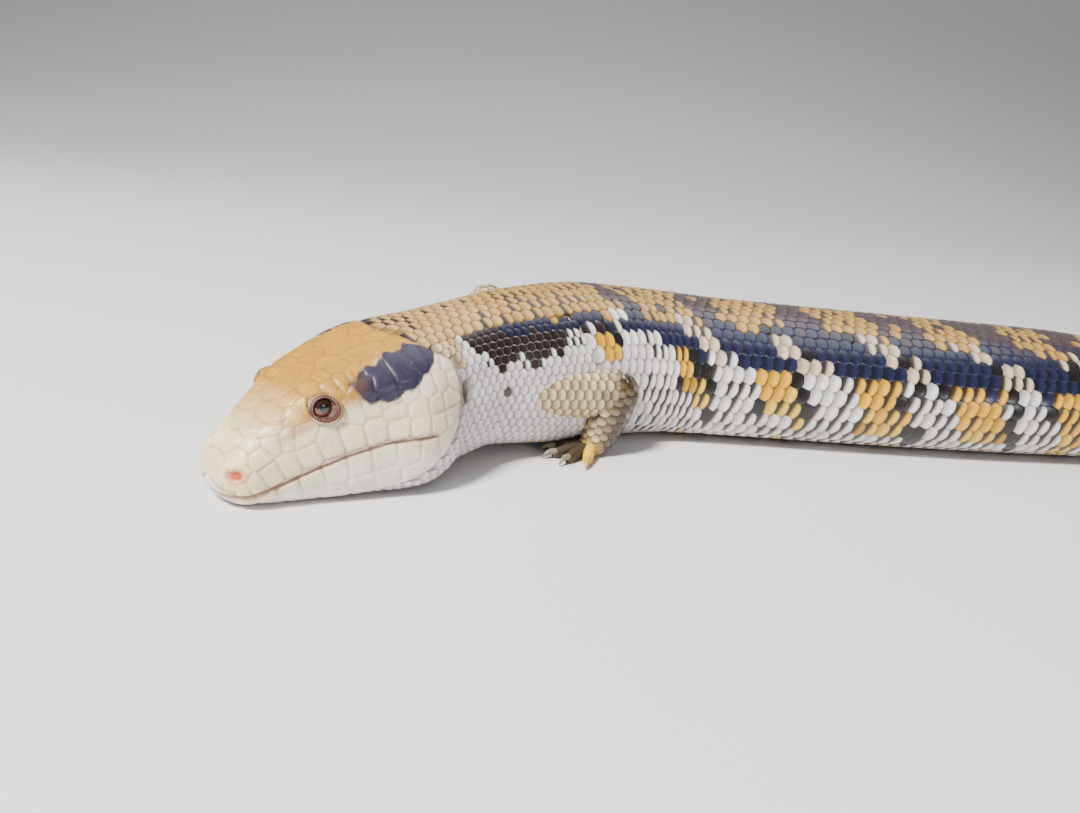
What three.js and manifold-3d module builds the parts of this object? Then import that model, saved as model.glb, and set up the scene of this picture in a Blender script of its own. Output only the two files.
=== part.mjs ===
// Blue tongued skink, life size, basking flat on the floor. Millimetres, +Z up, the floor is z = 0.
// +X runs from the head towards the tail, +Y away from the animal's left side.
// The origin lies on the flat of the belly, under the spine at ORIGIN_STATION.
// A place on the animal is given as along (arc length from the snout), out (to its left, from the
// spine's plane) and up (from the floor).

import * as THREE from "three";
import { mergeVertices } from "three/addons/utils/BufferGeometryUtils.js";
import Module from "manifold-3d";

const wasm = await Module();
wasm.setup();

// Driving sizes
const GAP = 0.3;
const HALF_GAP = GAP / 2;
const SLIVER = 0.012;
const TOTAL_LENGTH = 455;
const ORIGIN_STATION = 160;
const SNOUT_ROUNDING = 5.5;
const SNOUT_TIP_UP = 6.2;
const TAIL_ROUNDING = 4;
const TAIL_TIP_UP = 1.6;

// Form of the body against arc length: direction in plan, half width and heights
const HEADING_DEGREES = [[0, 49], [82, 48], [102, 35], [126, 13], [150, 9], [232, 10], [282, 2], [332, -15],
  [382, -22], [422, -6], [455, 16]];
const HALF_WIDTH = [[0, 7.4], [5, 8.3], [11, 10.1], [17, 12.3], [25, 15.4], [36, 18.8], [42, 17.9],
  [48, 15.9], [56, 16], [66, 18], [78, 20.5], [92, 23], [112, 25.5], [142, 27.5], [190, 28.5], [232, 27.5],
  [262, 22.5], [280, 17.5], [296, 14], [320, 12], [360, 9.3], [400, 6.6], [435, 4], [455, 2.4]];
const TOP_HEIGHT = [[0, 10.5], [4, 13], [10, 17.3], [17, 21.9], [25, 25.5], [34, 28.4], [44, 30.2],
  [58, 32.2], [76, 33.9], [92, 34.2], [112, 32.8], [136, 31.2], [180, 30.4], [232, 29.6], [262, 26.6],
  [282, 22.4], [300, 19], [330, 16.4], [370, 12.8], [410, 9], [440, 5.6], [455, 3.4]];
const UNDER_HEIGHT = [[0, 0.1], [6, -0.3], [12, -0.6], [38, -0.6], [48, 0.7], [57, 1.9], [67, 0.9],
  [78, -0.5], [90, -0.7], [250, -0.7], [282, -0.5], [330, -0.4], [455, -0.4]];
const WIDEST_SHARE = [[0, 0.5], [10, 0.42], [20, 0.34], [36, 0.33], [50, 0.42], [80, 0.42], [260, 0.4],
  [300, 0.46], [455, 0.5]];
const UPPER_POWER = [[0, 2.2], [10, 2.9], [20, 3.2], [40, 2.8], [54, 2.3], [90, 2.1], [260, 2.1], [300, 2],
  [455, 2]];
const LOWER_POWER = [[0, 2.1], [12, 3], [34, 4], [46, 3.2], [90, 3], [260, 3], [300, 2.3], [455, 2]];
const MOUTH_HEIGHT = [[0, 3], [4, 3.3], [9, 5], [16, 7.8], [22, 9.9], [29, 11.6], [37, 12.3]];

// Swellings and hollows on each side of the head
const HEAD_FORMS = [
  { part: "brow", along: 21, up: 21.5, reachAlong: 7, reachUp: 2.4, out: 0.6 },
  { part: "lore", along: 10.5, up: 12.5, reachAlong: 4, reachUp: 2.6, out: -0.6 },
  { part: "lid", along: 17, up: 18, reachAlong: 3.2, reachUp: 2.8, out: 0.3 },
  { part: "cheek", along: 27, up: 17, reachAlong: 6, reachUp: 3.2, out: -0.5 },
  { part: "jowl", along: 38, up: 10, reachAlong: 7, reachUp: 6, out: 0.6 },
];

// Places where the body is parted, and how closely it is modelled there
const HEAD_END = 49;
const LENGTHS = [
  { node: "neck", from: HEAD_END, to: 66, rings: 4, sides: 36 },
  { node: "torso_front", from: 66, to: 124, rings: 8, sides: 32 },
  { node: "torso_middle", from: 124, to: 190, rings: 6, sides: 32 },
  { node: "torso_rear", from: 190, to: 256, rings: 6, sides: 32 },
  { node: "hips", from: 256, to: 292, rings: 5, sides: 32 },
  { node: "tail_base", from: 292, to: 336, rings: 5, sides: 26 },
  { node: "tail_middle", from: 336, to: 380, rings: 5, sides: 22 },
  { node: "tail_rear", from: 380, to: 422, rings: 5, sides: 18 },
];
const TAIL_TIP = { node: "tail_tip", from: 422, sides: 14 };
const TAIL_TIP_STATIONS = [422, 431, 440, 447, 451, 453.5];
const HEAD_STATIONS = [0.15, 0.6, 1.3, 2.3, 3.6, 5.2, 7, 9, 11.2, 13.5, 16, 18.5, 21, 24, 27, 30.5, 34, 37.5,
  41, 45, 49];
const HEAD_SIDES = 40;

// Eye, ear and nostril
const EYE = { along: 17.2, out: 8.1, up: 18, ball: 2.6, lid: 0.5 };
const EYE_OPENING = { halfLength: 1.95, halfHeight: 1.85, halfDepth: 3, ahead: 4 };
const EYE_LOOKS = new THREE.Vector3(-0.2, 1, 0.12).normalize();
const EAR = { along: 45.8, up: 18.8, halfLength: 0.9, halfHeight: 2.3, depth: 2.2, proud: 0.3 };
const NOSTRIL = { along: 2.1, up: 6.9, halfLength: 0.85, halfHeight: 0.6, depth: 1.1, proud: 0.1 };
const NOSTRIL_LIES = new THREE.Vector3(0.8, 0.6, 0.25);
const NOSTRIL_FACES = new THREE.Vector3(-0.6, 0.8, 0);
const PIT_SEGMENTS = 12;
const EYE_SEGMENTS = 16;
const MOUTH_CORNER = 36.5;
const MOUTH_STATIONS = [-1.5, 4, 6.5, 9, 12.5, 16, 19, 22, 25.5, 29, 33, 36.5];
const MOUTH_INNER_STATIONS = [1.5, 2.5, 4, 7, 11, 16, 21, 27, 34, 41, 49];
const MOUTH_OPEN = 0.5;
const MOUTH_SHUT = 0.1;
const MOUTH_DEPTH = 1;
const MOUTH_REACH = 3;

// Legs: places of the joints of each, thickness along it, and the way the foot points
const LEGS = [
  {
    name: "foreleg_left",
    foot: "forefoot_left",
    claw: "foreclaw_left",
    side: 1,
    root: { along: 67, out: 12.5, up: 14.4 },
    middle: { along: 86, out: 21.3, up: 14 },
    ankle: { along: 83, out: 21, up: 5 },
    upperRadii: [5.7, 5.8, 5.8],
    lowerRadii: [6, 5.7, 4.4],
    footTurn: 14,
    toes: "fore",
  },
  {
    name: "foreleg_right",
    foot: "forefoot_right",
    claw: "foreclaw_right",
    side: -1,
    root: { along: 72, out: 10, up: 17 },
    middle: { along: 86.5, out: 23, up: 24.8 },
    ankle: { along: 84, out: 28.5, up: 6.2 },
    upperRadii: [6.2, 5.6, 5],
    lowerRadii: [5.1, 4.4, 3.2],
    footTurn: -14,
    toes: "fore",
  },
  {
    name: "hindleg_left",
    foot: "hindfoot_left",
    claw: "hindclaw_left",
    side: 1,
    root: { along: 274, out: 8, up: 11 },
    middle: { along: 259, out: 27, up: 12 },
    ankle: { along: 273, out: 33, up: 4.4 },
    upperRadii: [6.8, 6.2, 5],
    lowerRadii: [5, 4.3, 3.1],
    footTurn: -35,
    toes: "hind",
  },
  {
    name: "hindleg_right",
    foot: "hindfoot_right",
    claw: "hindclaw_right",
    side: -1,
    root: { along: 276, out: 8, up: 11 },
    middle: { along: 268, out: 27.5, up: 11 },
    ankle: { along: 285, out: 30, up: 4.4 },
    upperRadii: [6.8, 6.2, 5],
    lowerRadii: [5, 4.3, 3.1],
    footTurn: -52,
    toes: "hind",
  },
];
const TOES = {
  fore: [
    { turn: 44, length: 4 }, { turn: 22, length: 5.8 }, { turn: 1, length: 7 },
    { turn: -22, length: 6.6 }, { turn: -50, length: 4.8 },
  ],
  hind: [
    { turn: 46, length: 4.4 }, { turn: 22, length: 6.2 }, { turn: 2, length: 7.8 },
    { turn: -18, length: 8.8 }, { turn: -46, length: 6.2 },
  ],
};
const PALM = { length: 6.6, halfWidth: 3.7, halfHeight: 2.3, up: 2.1, ahead: 1.85, segments: 12 };
const KNUCKLES = { ahead: 4.1, spread: 0.6 };
const TOE_RADII = [1.45, 1.3, 1.1];
const TOE_BEND = 0.55;
const TOE_UP = { root: 1.9, bend: 1.75, end: 1.05 };
const CLAW = { length: 3.2, ahead: 0.2, arch: 0.6, rootUp: 1.45, archUp: 1.5, tipUp: 0.45 };
const CLAW_RADII = [0.8, 0.56, 0.16];

// How closely limbs are modelled: sides, rings, and the turns of the rings that round their ends
const LEG_MESH = { sides: 12, rings: 4, capTurns: [75, 35] };
const TOE_MESH = { sides: 8, rings: 2, capTurns: [50] };
const CLAW_MESH = { sides: 6, rings: 2, capTurns: [50] };
const STEEP = 0.8;

// The stretch of body that the legs grow from, grown by the gap to cut them clear
const LEG_STRETCH = { from: 36, to: 330, rings: 30, sides: 36 };

// Room under the floor, and lengths too short to matter
const FLOOR_SIZE = 2000;
const FLOOR_DEPTH = 50;
const MERGE_WITHIN = 1e-4;
const NUDGE = 0.01;
const RELIEF_FADE = 3;

// Colours and finish
const FINISHES = {
  head: { color: 0xd9b77c, roughness: 0.42 },
  pale: { color: 0xd8cbbd, roughness: 0.45 },
  banded: { color: 0xa08a68, roughness: 0.4 },
  leg: { color: 0x9a8152, roughness: 0.5 },
  claw: { color: 0xb9a67c, roughness: 0.35 },
  eye: { color: 0x3a2314, roughness: 0.08 },
};

// Smooth curve through a few [station, value] pairs, which never swings past them
function curveThrough(knots) {
  const last = knots.length - 1;
  const slopes = [];
  for (let i = 0; i < last; i += 1) {
    slopes.push((knots[i + 1][1] - knots[i][1]) / (knots[i + 1][0] - knots[i][0]));
  }
  const tangents = knots.map((knot, i) => {
    if (i === 0) return slopes[0];
    if (i === last) return slopes[last - 1];
    const product = slopes[i - 1] * slopes[i];
    return product <= 0 ? 0 : (2 * product) / (slopes[i - 1] + slopes[i]);
  });
  return (station) => {
    const s = Math.min(Math.max(station, knots[0][0]), knots[last][0]);
    let i = 0;
    while (i < last - 1 && s > knots[i + 1][0]) i += 1;
    const span = knots[i + 1][0] - knots[i][0];
    const t = (s - knots[i][0]) / span;
    const lift = t * t * (3 - 2 * t);
    return (
      knots[i][1] * (1 - lift) + knots[i + 1][1] * lift +
      span * tangents[i] * t * (1 - t) * (1 - t) - span * tangents[i + 1] * t * t * (1 - t)
    );
  };
}

const headingAt = curveThrough(HEADING_DEGREES);
const halfWidthAt = curveThrough(HALF_WIDTH);
const topHeightAt = curveThrough(TOP_HEIGHT);
const underHeightAt = curveThrough(UNDER_HEIGHT);
const widestShareAt = curveThrough(WIDEST_SHARE);
const upperPowerAt = curveThrough(UPPER_POWER);
const lowerPowerAt = curveThrough(LOWER_POWER);
const mouthHeightAt = curveThrough(MOUTH_HEIGHT);

// The spine in plan, walked from the snout in whole millimetres
function walkSpine() {
  const points = [new THREE.Vector2(0, 0)];
  for (let s = 0; s < TOTAL_LENGTH; s += 1) {
    const heading = THREE.MathUtils.degToRad(headingAt(s + 0.5));
    const previous = points[points.length - 1];
    points.push(new THREE.Vector2(previous.x + Math.cos(heading), previous.y + Math.sin(heading)));
  }
  const origin = points[ORIGIN_STATION].clone();
  return points.map((point) => point.sub(origin));
}

const SPINE = walkSpine();

// A place on the animal in the part's own frame
function place(along, out, up) {
  const index = Math.min(Math.max(Math.floor(along), 0), TOTAL_LENGTH - 1);
  const centre = SPINE[index].clone().lerp(SPINE[index + 1], along - index);
  const heading = THREE.MathUtils.degToRad(headingAt(along));
  return new THREE.Vector3(centre.x + out * Math.sin(heading), centre.y - out * Math.cos(heading), up);
}

// How far a rounded end has opened, from 0 at its tip to 1
function roundedEnd(distance, rounding) {
  const share = 1 - Math.min(distance / rounding, 1);
  return Math.sqrt(Math.max(1 - share * share, 0));
}

// Half width, heights and powers of the section at a station, swollen by grow on every side
function sectionAt(along, grow = 0) {
  const open = roundedEnd(along, SNOUT_ROUNDING) * roundedEnd(TOTAL_LENGTH - along, TAIL_ROUNDING);
  const tipUp = along < TOTAL_LENGTH / 2 ? SNOUT_TIP_UP : TAIL_TIP_UP;
  const top = tipUp + (topHeightAt(along) - tipUp) * open + grow;
  const under = tipUp + (underHeightAt(along) - tipUp) * open - grow;
  return {
    half: halfWidthAt(along) * open + grow,
    top,
    under,
    widest: under + (top - under) * widestShareAt(along),
    upperPower: upperPowerAt(along),
    lowerPower: lowerPowerAt(along),
  };
}

// How far the head's own forms stand out beyond the plain section
function headRelief(along, up) {
  let out = 0;
  for (const form of HEAD_FORMS) {
    const a = (along - form.along) / form.reachAlong;
    const u = (up - form.up) / form.reachUp;
    out += form.out * Math.exp(-a * a - u * u);
  }
  return out;
}

// Distance of the skin from the spine's plane at a height
function sideAt(along, up) {
  const section = sectionAt(along);
  const upper = up > section.widest;
  const reach = upper ? section.top - section.widest : section.widest - section.under;
  const power = upper ? section.upperPower : section.lowerPower;
  const rise = Math.min(Math.abs(up - section.widest) / reach, 1);
  return section.half * (1 - rise ** power) ** (1 / power) + headRelief(along, up);
}

// One ring of skin points at a station, from under the belly up the left side and down the right
function bodyRing(along, sides, grow) {
  const section = sectionAt(along, grow);
  const ring = [];
  for (let i = 0; i < sides; i += 1) {
    const turn = (i / sides) * Math.PI * 2 - Math.PI / 2;
    const upper = Math.sin(turn) > 0;
    const power = upper ? section.upperPower : section.lowerPower;
    const reach = upper ? section.top - section.widest : section.widest - section.under;
    const up = section.widest + Math.sign(Math.sin(turn)) * reach * Math.abs(Math.sin(turn)) ** (2 / power);
    const across = Math.abs(Math.cos(turn)) ** (2 / power);
    const relief = headRelief(along, up) * Math.min(1, RELIEF_FADE * across);
    ring.push(place(along, Math.sign(Math.cos(turn)) * (section.half * across + relief), up));
  }
  return ring;
}

// A closed solid over rings of points, with a fan over each end
function solidOverRings(rings, startPole, endPole) {
  const sides = rings[0].length;
  const points = rings.flat();
  const startIndex = points.length;
  const endIndex = startIndex + 1;
  points.push(startPole, endPole);
  const triangles = [];
  for (let r = 0; r < rings.length - 1; r += 1) {
    for (let i = 0; i < sides; i += 1) {
      const next = (i + 1) % sides;
      const a = r * sides + i;
      const b = r * sides + next;
      triangles.push(a, b, a + sides, b, b + sides, a + sides);
    }
  }
  const lastRing = (rings.length - 1) * sides;
  for (let i = 0; i < sides; i += 1) {
    const next = (i + 1) % sides;
    triangles.push(startIndex, next, i, endIndex, lastRing + i, lastRing + next);
  }
  return solidFrom(points, triangles);
}

// A solid from points and triangles, turned right side out if it comes inside out
function solidFrom(points, triangles) {
  const build = (indices) => new wasm.Manifold(new wasm.Mesh({
    numProp: 3,
    vertProperties: new Float32Array(points.flatMap((point) => [point.x, point.y, point.z])),
    triVerts: new Uint32Array(indices),
  }));
  const solid = build(triangles);
  if (solid.volume() > 0) return solid;
  const turned = [];
  for (let i = 0; i < triangles.length; i += 3) {
    turned.push(triangles[i], triangles[i + 2], triangles[i + 1]);
  }
  return build(turned);
}

// A solid from a plain geometry, placed by a matrix
function solidFromGeometry(geometry, matrix) {
  geometry.deleteAttribute("normal");
  geometry.deleteAttribute("uv");
  const merged = mergeVertices(geometry, MERGE_WITHIN);
  merged.applyMatrix4(matrix);
  const position = merged.attributes.position;
  const points = [];
  for (let i = 0; i < position.count; i += 1) {
    points.push(new THREE.Vector3().fromBufferAttribute(position, i));
  }
  return solidFrom(points, Array.from(merged.index.array));
}

// Everything below the floor
const FLOOR_BLOCK = solidFromGeometry(
  new THREE.BoxGeometry(FLOOR_SIZE, FLOOR_SIZE, FLOOR_DEPTH),
  new THREE.Matrix4().makeTranslation(0, 0, -FLOOR_DEPTH / 2),
);

// The largest closed body of a solid, standing on the floor, without slivers finer than SLIVER
function largestOnFloor(solid) {
  const pieces = solid.subtract(FLOOR_BLOCK).decompose();
  const largest = pieces.reduce((best, piece) => (piece.volume() > best.volume() ? piece : best));
  return largest.simplify(SLIVER);
}

function middleOf(ring) {
  return ring.reduce((sum, point) => sum.add(point), new THREE.Vector3()).divideScalar(ring.length);
}

// A length of the body between two stations
function bodyLength(stations, sides, grow = 0) {
  const rings = stations.map((along) => bodyRing(along, sides, grow));
  return solidOverRings(rings, middleOf(rings[0]), middleOf(rings[rings.length - 1]));
}

function evenStations(from, to, rings) {
  return Array.from({ length: rings + 1 }, (_, i) => from + ((to - from) * i) / rings);
}

// A ball stretched along three directions, centred at a point
function stretchedBall(centre, forward, outward, half, segments) {
  const x = forward.clone().normalize();
  const y = outward.clone().addScaledVector(x, -outward.dot(x)).normalize();
  const z = new THREE.Vector3().crossVectors(x, y);
  const matrix = new THREE.Matrix4().makeBasis(
    x.multiplyScalar(half.x), y.multiplyScalar(half.y), z.multiplyScalar(half.z),
  ).setPosition(centre);
  return solidFromGeometry(new THREE.SphereGeometry(1, segments, segments / 2 + 2), matrix);
}

// Directions on one side of the head, from the part's place frame to its own axes
function headDirection(vector, along, side) {
  const origin = place(along, 0, 0);
  const forward = place(along + NUDGE, 0, 0).sub(origin).normalize();
  const outward = place(along, side, 0).sub(origin).normalize();
  return forward.multiplyScalar(vector.x).addScaledVector(outward, vector.y).add(
    new THREE.Vector3(0, 0, vector.z),
  );
}

// The groove of the mouth: a thin sheet at the height of the lips, less the inner part of the head
function mouthGroove() {
  const rings = MOUTH_STATIONS.map((along) => {
    const reach = halfWidthAt(along) + MOUTH_REACH;
    const open = (along < MOUTH_CORNER ? MOUTH_OPEN : MOUTH_SHUT) / 2;
    const up = mouthHeightAt(along);
    return [
      place(along, -reach, up - open), place(along, reach, up - open),
      place(along, reach, up + open), place(along, -reach, up + open),
    ];
  });
  const sheet = solidOverRings(rings, middleOf(rings[0]), middleOf(rings[rings.length - 1]));
  const inner = bodyLength(MOUTH_INNER_STATIONS, HEAD_SIDES, -MOUTH_DEPTH);
  return sheet.subtract(inner);
}

function eyeCentre(side) {
  return place(EYE.along, side * EYE.out, EYE.up);
}

function eyeball(side) {
  const looks = headDirection(EYE_LOOKS, EYE.along, side);
  const size = new THREE.Vector3(EYE.ball, EYE.ball, EYE.ball);
  return stretchedBall(eyeCentre(side), looks, new THREE.Vector3(0, 0, 1), size, EYE_SEGMENTS);
}

// Upper and lower lid as one shell over the ball with an opening between them
function lids(side) {
  const looks = headDirection(EYE_LOOKS, EYE.along, side);
  const upward = new THREE.Vector3(0, 0, 1);
  const ballOf = (radius) => stretchedBall(
    eyeCentre(side), looks, upward, new THREE.Vector3(radius, radius, radius), EYE_SEGMENTS,
  );
  const opening = stretchedBall(
    eyeCentre(side).addScaledVector(looks, EYE_OPENING.ahead), upward, looks,
    new THREE.Vector3(EYE_OPENING.halfHeight, EYE_OPENING.halfDepth, EYE_OPENING.halfLength), EYE_SEGMENTS,
  );
  const shell = ballOf(EYE.ball + GAP + EYE.lid).subtract(opening);
  return { shell, socket: ballOf(EYE.ball + GAP), opening };
}

function earCup(side) {
  const centre = place(EAR.along, side * (sideAt(EAR.along, EAR.up) + EAR.proud), EAR.up);
  const size = new THREE.Vector3(EAR.halfLength, EAR.depth, EAR.halfHeight);
  const forward = headDirection(new THREE.Vector3(1, 0, 0), EAR.along, side);
  const outward = headDirection(new THREE.Vector3(0, 1, 0), EAR.along, side);
  return stretchedBall(centre, forward, outward, size, PIT_SEGMENTS);
}

function nostrilPit(side) {
  const out = sideAt(NOSTRIL.along, NOSTRIL.up) + NOSTRIL.proud;
  const centre = place(NOSTRIL.along, side * out, NOSTRIL.up);
  const size = new THREE.Vector3(NOSTRIL.halfLength, NOSTRIL.depth, NOSTRIL.halfHeight);
  const forward = headDirection(NOSTRIL_LIES, NOSTRIL.along, side);
  const outward = headDirection(NOSTRIL_FACES, NOSTRIL.along, side);
  return stretchedBall(centre, forward, outward, size, PIT_SEGMENTS);
}

function headSolid() {
  const stations = [...HEAD_STATIONS];
  stations[stations.length - 1] -= HALF_GAP;
  const rings = stations.map((along) => bodyRing(along, HEAD_SIDES, 0));
  let solid = solidOverRings(rings, place(0, 0, SNOUT_TIP_UP), middleOf(rings[rings.length - 1]));
  solid = solid.subtract(mouthGroove());
  for (const side of [1, -1]) {
    const { shell, socket, opening } = lids(side);
    solid = solid.subtract(opening).add(shell).subtract(socket);
    solid = solid.subtract(earCup(side)).subtract(nostrilPit(side));
  }
  return solid;
}

// A tapered limb with round ends along a few places, its thickness from a few radii
function limb(points, radii, grow, { sides, rings, capTurns }) {
  const path = new THREE.CatmullRomCurve3(points, false, "centripetal");
  const radiusAt = curveThrough(radii.map((radius, i) => [i / (radii.length - 1), radius]));
  const startReach = radii[0] + grow;
  const endReach = radii[radii.length - 1] + grow;
  const stations = [];
  for (const turn of capTurns) {
    const angle = THREE.MathUtils.degToRad(turn);
    stations.push({ at: 0, shift: -Math.sin(angle) * startReach, scale: Math.cos(angle) });
  }
  for (let i = 0; i <= rings; i += 1) stations.push({ at: i / rings, shift: 0, scale: 1 });
  for (const turn of [...capTurns].reverse()) {
    const angle = THREE.MathUtils.degToRad(turn);
    stations.push({ at: 1, shift: Math.sin(angle) * endReach, scale: Math.cos(angle) });
  }
  const upward = new THREE.Vector3(0, 0, 1);
  const overall = points[points.length - 1].clone().sub(points[0]).normalize();
  const reference = Math.abs(overall.z) > STEEP ? new THREE.Vector3(0, 1, 0) : upward;
  const ringsOfPoints = stations.map(({ at, shift, scale }) => {
    const tangent = path.getTangentAt(at);
    const centre = path.getPointAt(at).addScaledVector(tangent, shift);
    const across = new THREE.Vector3().crossVectors(reference, tangent).normalize();
    const rise = new THREE.Vector3().crossVectors(tangent, across);
    const radius = (radiusAt(at) + grow) * scale;
    return Array.from({ length: sides }, (_, i) => {
      const angle = (i / sides) * Math.PI * 2;
      return centre.clone()
        .addScaledVector(across, radius * Math.cos(angle))
        .addScaledVector(rise, radius * Math.sin(angle));
    });
  });
  const startPole = path.getPointAt(0).addScaledVector(path.getTangentAt(0), -startReach);
  const endPole = path.getPointAt(1).addScaledVector(path.getTangentAt(1), endReach);
  return solidOverRings(ringsOfPoints, startPole, endPole);
}

function jointPlace(leg, joint) {
  return place(joint.along, leg.side * joint.out, joint.up);
}

// Directions of a foot: where it points, turned from straight ahead by its own angle
function footDirection(leg, turn) {
  const ahead = headDirection(new THREE.Vector3(-1, 0, 0), leg.ankle.along, leg.side);
  const angle = THREE.MathUtils.degToRad(leg.side * (leg.footTurn + turn));
  return ahead.applyAxisAngle(new THREE.Vector3(0, 0, 1), -angle);
}

function toePath(leg, toe) {
  const heel = jointPlace(leg, leg.ankle).setZ(PALM.up);
  const toKnuckles = footDirection(leg, toe.turn * KNUCKLES.spread);
  const knuckles = heel.clone().addScaledVector(toKnuckles, KNUCKLES.ahead);
  const direction = footDirection(leg, toe.turn);
  return [
    knuckles.clone().setZ(TOE_UP.root),
    knuckles.clone().addScaledVector(direction, toe.length * TOE_BEND).setZ(TOE_UP.bend),
    knuckles.clone().addScaledVector(direction, toe.length).setZ(TOE_UP.end),
  ];
}

function palm(leg, grow) {
  const heel = jointPlace(leg, leg.ankle).setZ(PALM.up);
  const ahead = footDirection(leg, 0);
  const centre = heel.clone().addScaledVector(ahead, PALM.ahead);
  const size = new THREE.Vector3(PALM.length / 2 + grow, PALM.halfWidth + grow, PALM.halfHeight + grow);
  const across = new THREE.Vector3(-ahead.y, ahead.x, 0);
  return stretchedBall(centre, ahead, across, size, PALM.segments);
}

function footSolid(leg, grow = 0) {
  let solid = palm(leg, grow);
  for (const toe of TOES[leg.toes]) {
    solid = solid.add(limb(toePath(leg, toe), TOE_RADII, grow, TOE_MESH));
  }
  return solid;
}

function clawSolid(leg, toe) {
  const path = toePath(leg, toe);
  const direction = footDirection(leg, toe.turn);
  const base = path[2].clone().addScaledVector(direction, CLAW.ahead).setZ(CLAW.rootUp);
  const middle = base.clone().addScaledVector(direction, CLAW.length * CLAW.arch).setZ(CLAW.archUp);
  const tip = base.clone().addScaledVector(direction, CLAW.length).setZ(CLAW.tipUp);
  return limb([base, middle, tip], CLAW_RADII, 0, CLAW_MESH);
}

// Upper leg, lower leg, foot and claws, each cut clear of what it grows from
function legSolids(leg, bodyGrown) {
  const root = jointPlace(leg, leg.root);
  const middle = jointPlace(leg, leg.middle);
  const ankle = jointPlace(leg, leg.ankle);
  const upper = (grow) => limb([root, middle], leg.upperRadii, grow, LEG_MESH);
  const lower = (grow) => limb([middle, ankle], leg.lowerRadii, grow, LEG_MESH);
  const solids = [
    { node: `${leg.name}_upper`, solid: upper(0).subtract(bodyGrown), finish: "leg" },
    { node: `${leg.name}_lower`, solid: lower(0).subtract(upper(GAP)).subtract(bodyGrown), finish: "leg" },
  ];
  const footClear = footSolid(leg).subtract(lower(GAP)).subtract(upper(GAP)).subtract(bodyGrown);
  solids.push({ node: leg.foot, solid: footClear, finish: "leg" });
  const footGrown = footSolid(leg, GAP);
  TOES[leg.toes].forEach((toe, i) => {
    const solid = clawSolid(leg, toe).subtract(footGrown).subtract(bodyGrown);
    solids.push({ node: `${leg.claw}_${i + 1}`, solid, finish: "claw" });
  });
  return solids;
}

// A named mesh with its own finish
function meshOf(node, solid, finish) {
  const { vertProperties, triVerts, numProp } = solid.getMesh();
  const positions = new Float32Array((vertProperties.length / numProp) * 3);
  for (let i = 0; i < positions.length / 3; i += 1) {
    for (let axis = 0; axis < 3; axis += 1) positions[i * 3 + axis] = vertProperties[i * numProp + axis];
  }
  const geometry = new THREE.BufferGeometry();
  geometry.setAttribute("position", new THREE.BufferAttribute(positions, 3));
  geometry.setIndex(new THREE.BufferAttribute(new Uint32Array(triVerts), 1));
  geometry.computeVertexNormals();
  const material = new THREE.MeshStandardMaterial({ ...FINISHES[finish], metalness: 0 });
  const mesh = new THREE.Mesh(geometry, material);
  mesh.name = node;
  return mesh;
}

function buildSkink() {
  const skink = new THREE.Group();
  const add = (node, solid, finish) => skink.add(meshOf(node, largestOnFloor(solid), finish));
  add("head", headSolid(), "head");
  for (const [side, name] of [[1, "eye_left"], [-1, "eye_right"]]) {
    add(name, eyeball(side), "eye");
  }
  for (const { node, from, to, rings, sides } of LENGTHS) {
    const stations = evenStations(from + HALF_GAP, to - HALF_GAP, rings);
    add(node, bodyLength(stations, sides), node === "neck" ? "pale" : "banded");
  }
  const tipStations = [...TAIL_TIP_STATIONS];
  tipStations[0] += HALF_GAP;
  const tipRings = tipStations.map((along) => bodyRing(along, TAIL_TIP.sides, 0));
  const tip = solidOverRings(tipRings, middleOf(tipRings[0]), place(TOTAL_LENGTH, 0, TAIL_TIP_UP));
  add(TAIL_TIP.node, tip, "banded");
  const { from: legsFrom, to: legsTo, rings: legRings, sides: legSides } = LEG_STRETCH;
  const bodyGrown = bodyLength(evenStations(legsFrom, legsTo, legRings), legSides, GAP);
  for (const leg of LEGS) {
    for (const { node, solid, finish } of legSolids(leg, bodyGrown)) add(node, solid, finish);
  }
  return skink;
}

export default buildSkink();
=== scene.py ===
# Blue tongued skink, life size: skin, scales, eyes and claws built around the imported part.
# Sizes are millimetres in the part's frame; meshes are turned into metres as they are made.
# A place on the animal is along (arc length from the snout), out (to its left) and up.
# Its girth share runs from 0 at the belly's midline up the left side to 0.5 at the back and on to 1.
# A girth height is 0 at the belly's midline and 1 at the back's, on either side.

import math

import bpy
import numpy as np
from mathutils import Matrix


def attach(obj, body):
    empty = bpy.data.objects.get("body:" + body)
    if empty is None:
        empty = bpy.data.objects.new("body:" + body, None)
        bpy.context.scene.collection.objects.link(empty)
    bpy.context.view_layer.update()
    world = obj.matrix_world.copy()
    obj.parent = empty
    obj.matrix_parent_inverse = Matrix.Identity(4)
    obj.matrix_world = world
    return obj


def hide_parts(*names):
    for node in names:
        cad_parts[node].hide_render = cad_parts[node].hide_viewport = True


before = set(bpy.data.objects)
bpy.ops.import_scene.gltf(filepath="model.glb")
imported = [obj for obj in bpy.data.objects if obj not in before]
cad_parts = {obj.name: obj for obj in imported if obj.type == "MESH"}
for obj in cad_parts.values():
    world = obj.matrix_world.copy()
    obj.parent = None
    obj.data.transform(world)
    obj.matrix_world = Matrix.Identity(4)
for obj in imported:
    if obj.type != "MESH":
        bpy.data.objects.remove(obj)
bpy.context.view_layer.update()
rng = np.random.default_rng(11)

MM = 0.001
TOTAL_LENGTH = 455
ORIGIN_STATION = 160
SNOUT_ROUNDING, SNOUT_TIP_UP = 5.5, 6.2
TAIL_ROUNDING, TAIL_TIP_UP = 4, 1.6
COAT = 0.5
PLATE_THICKNESS = 0.26

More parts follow.
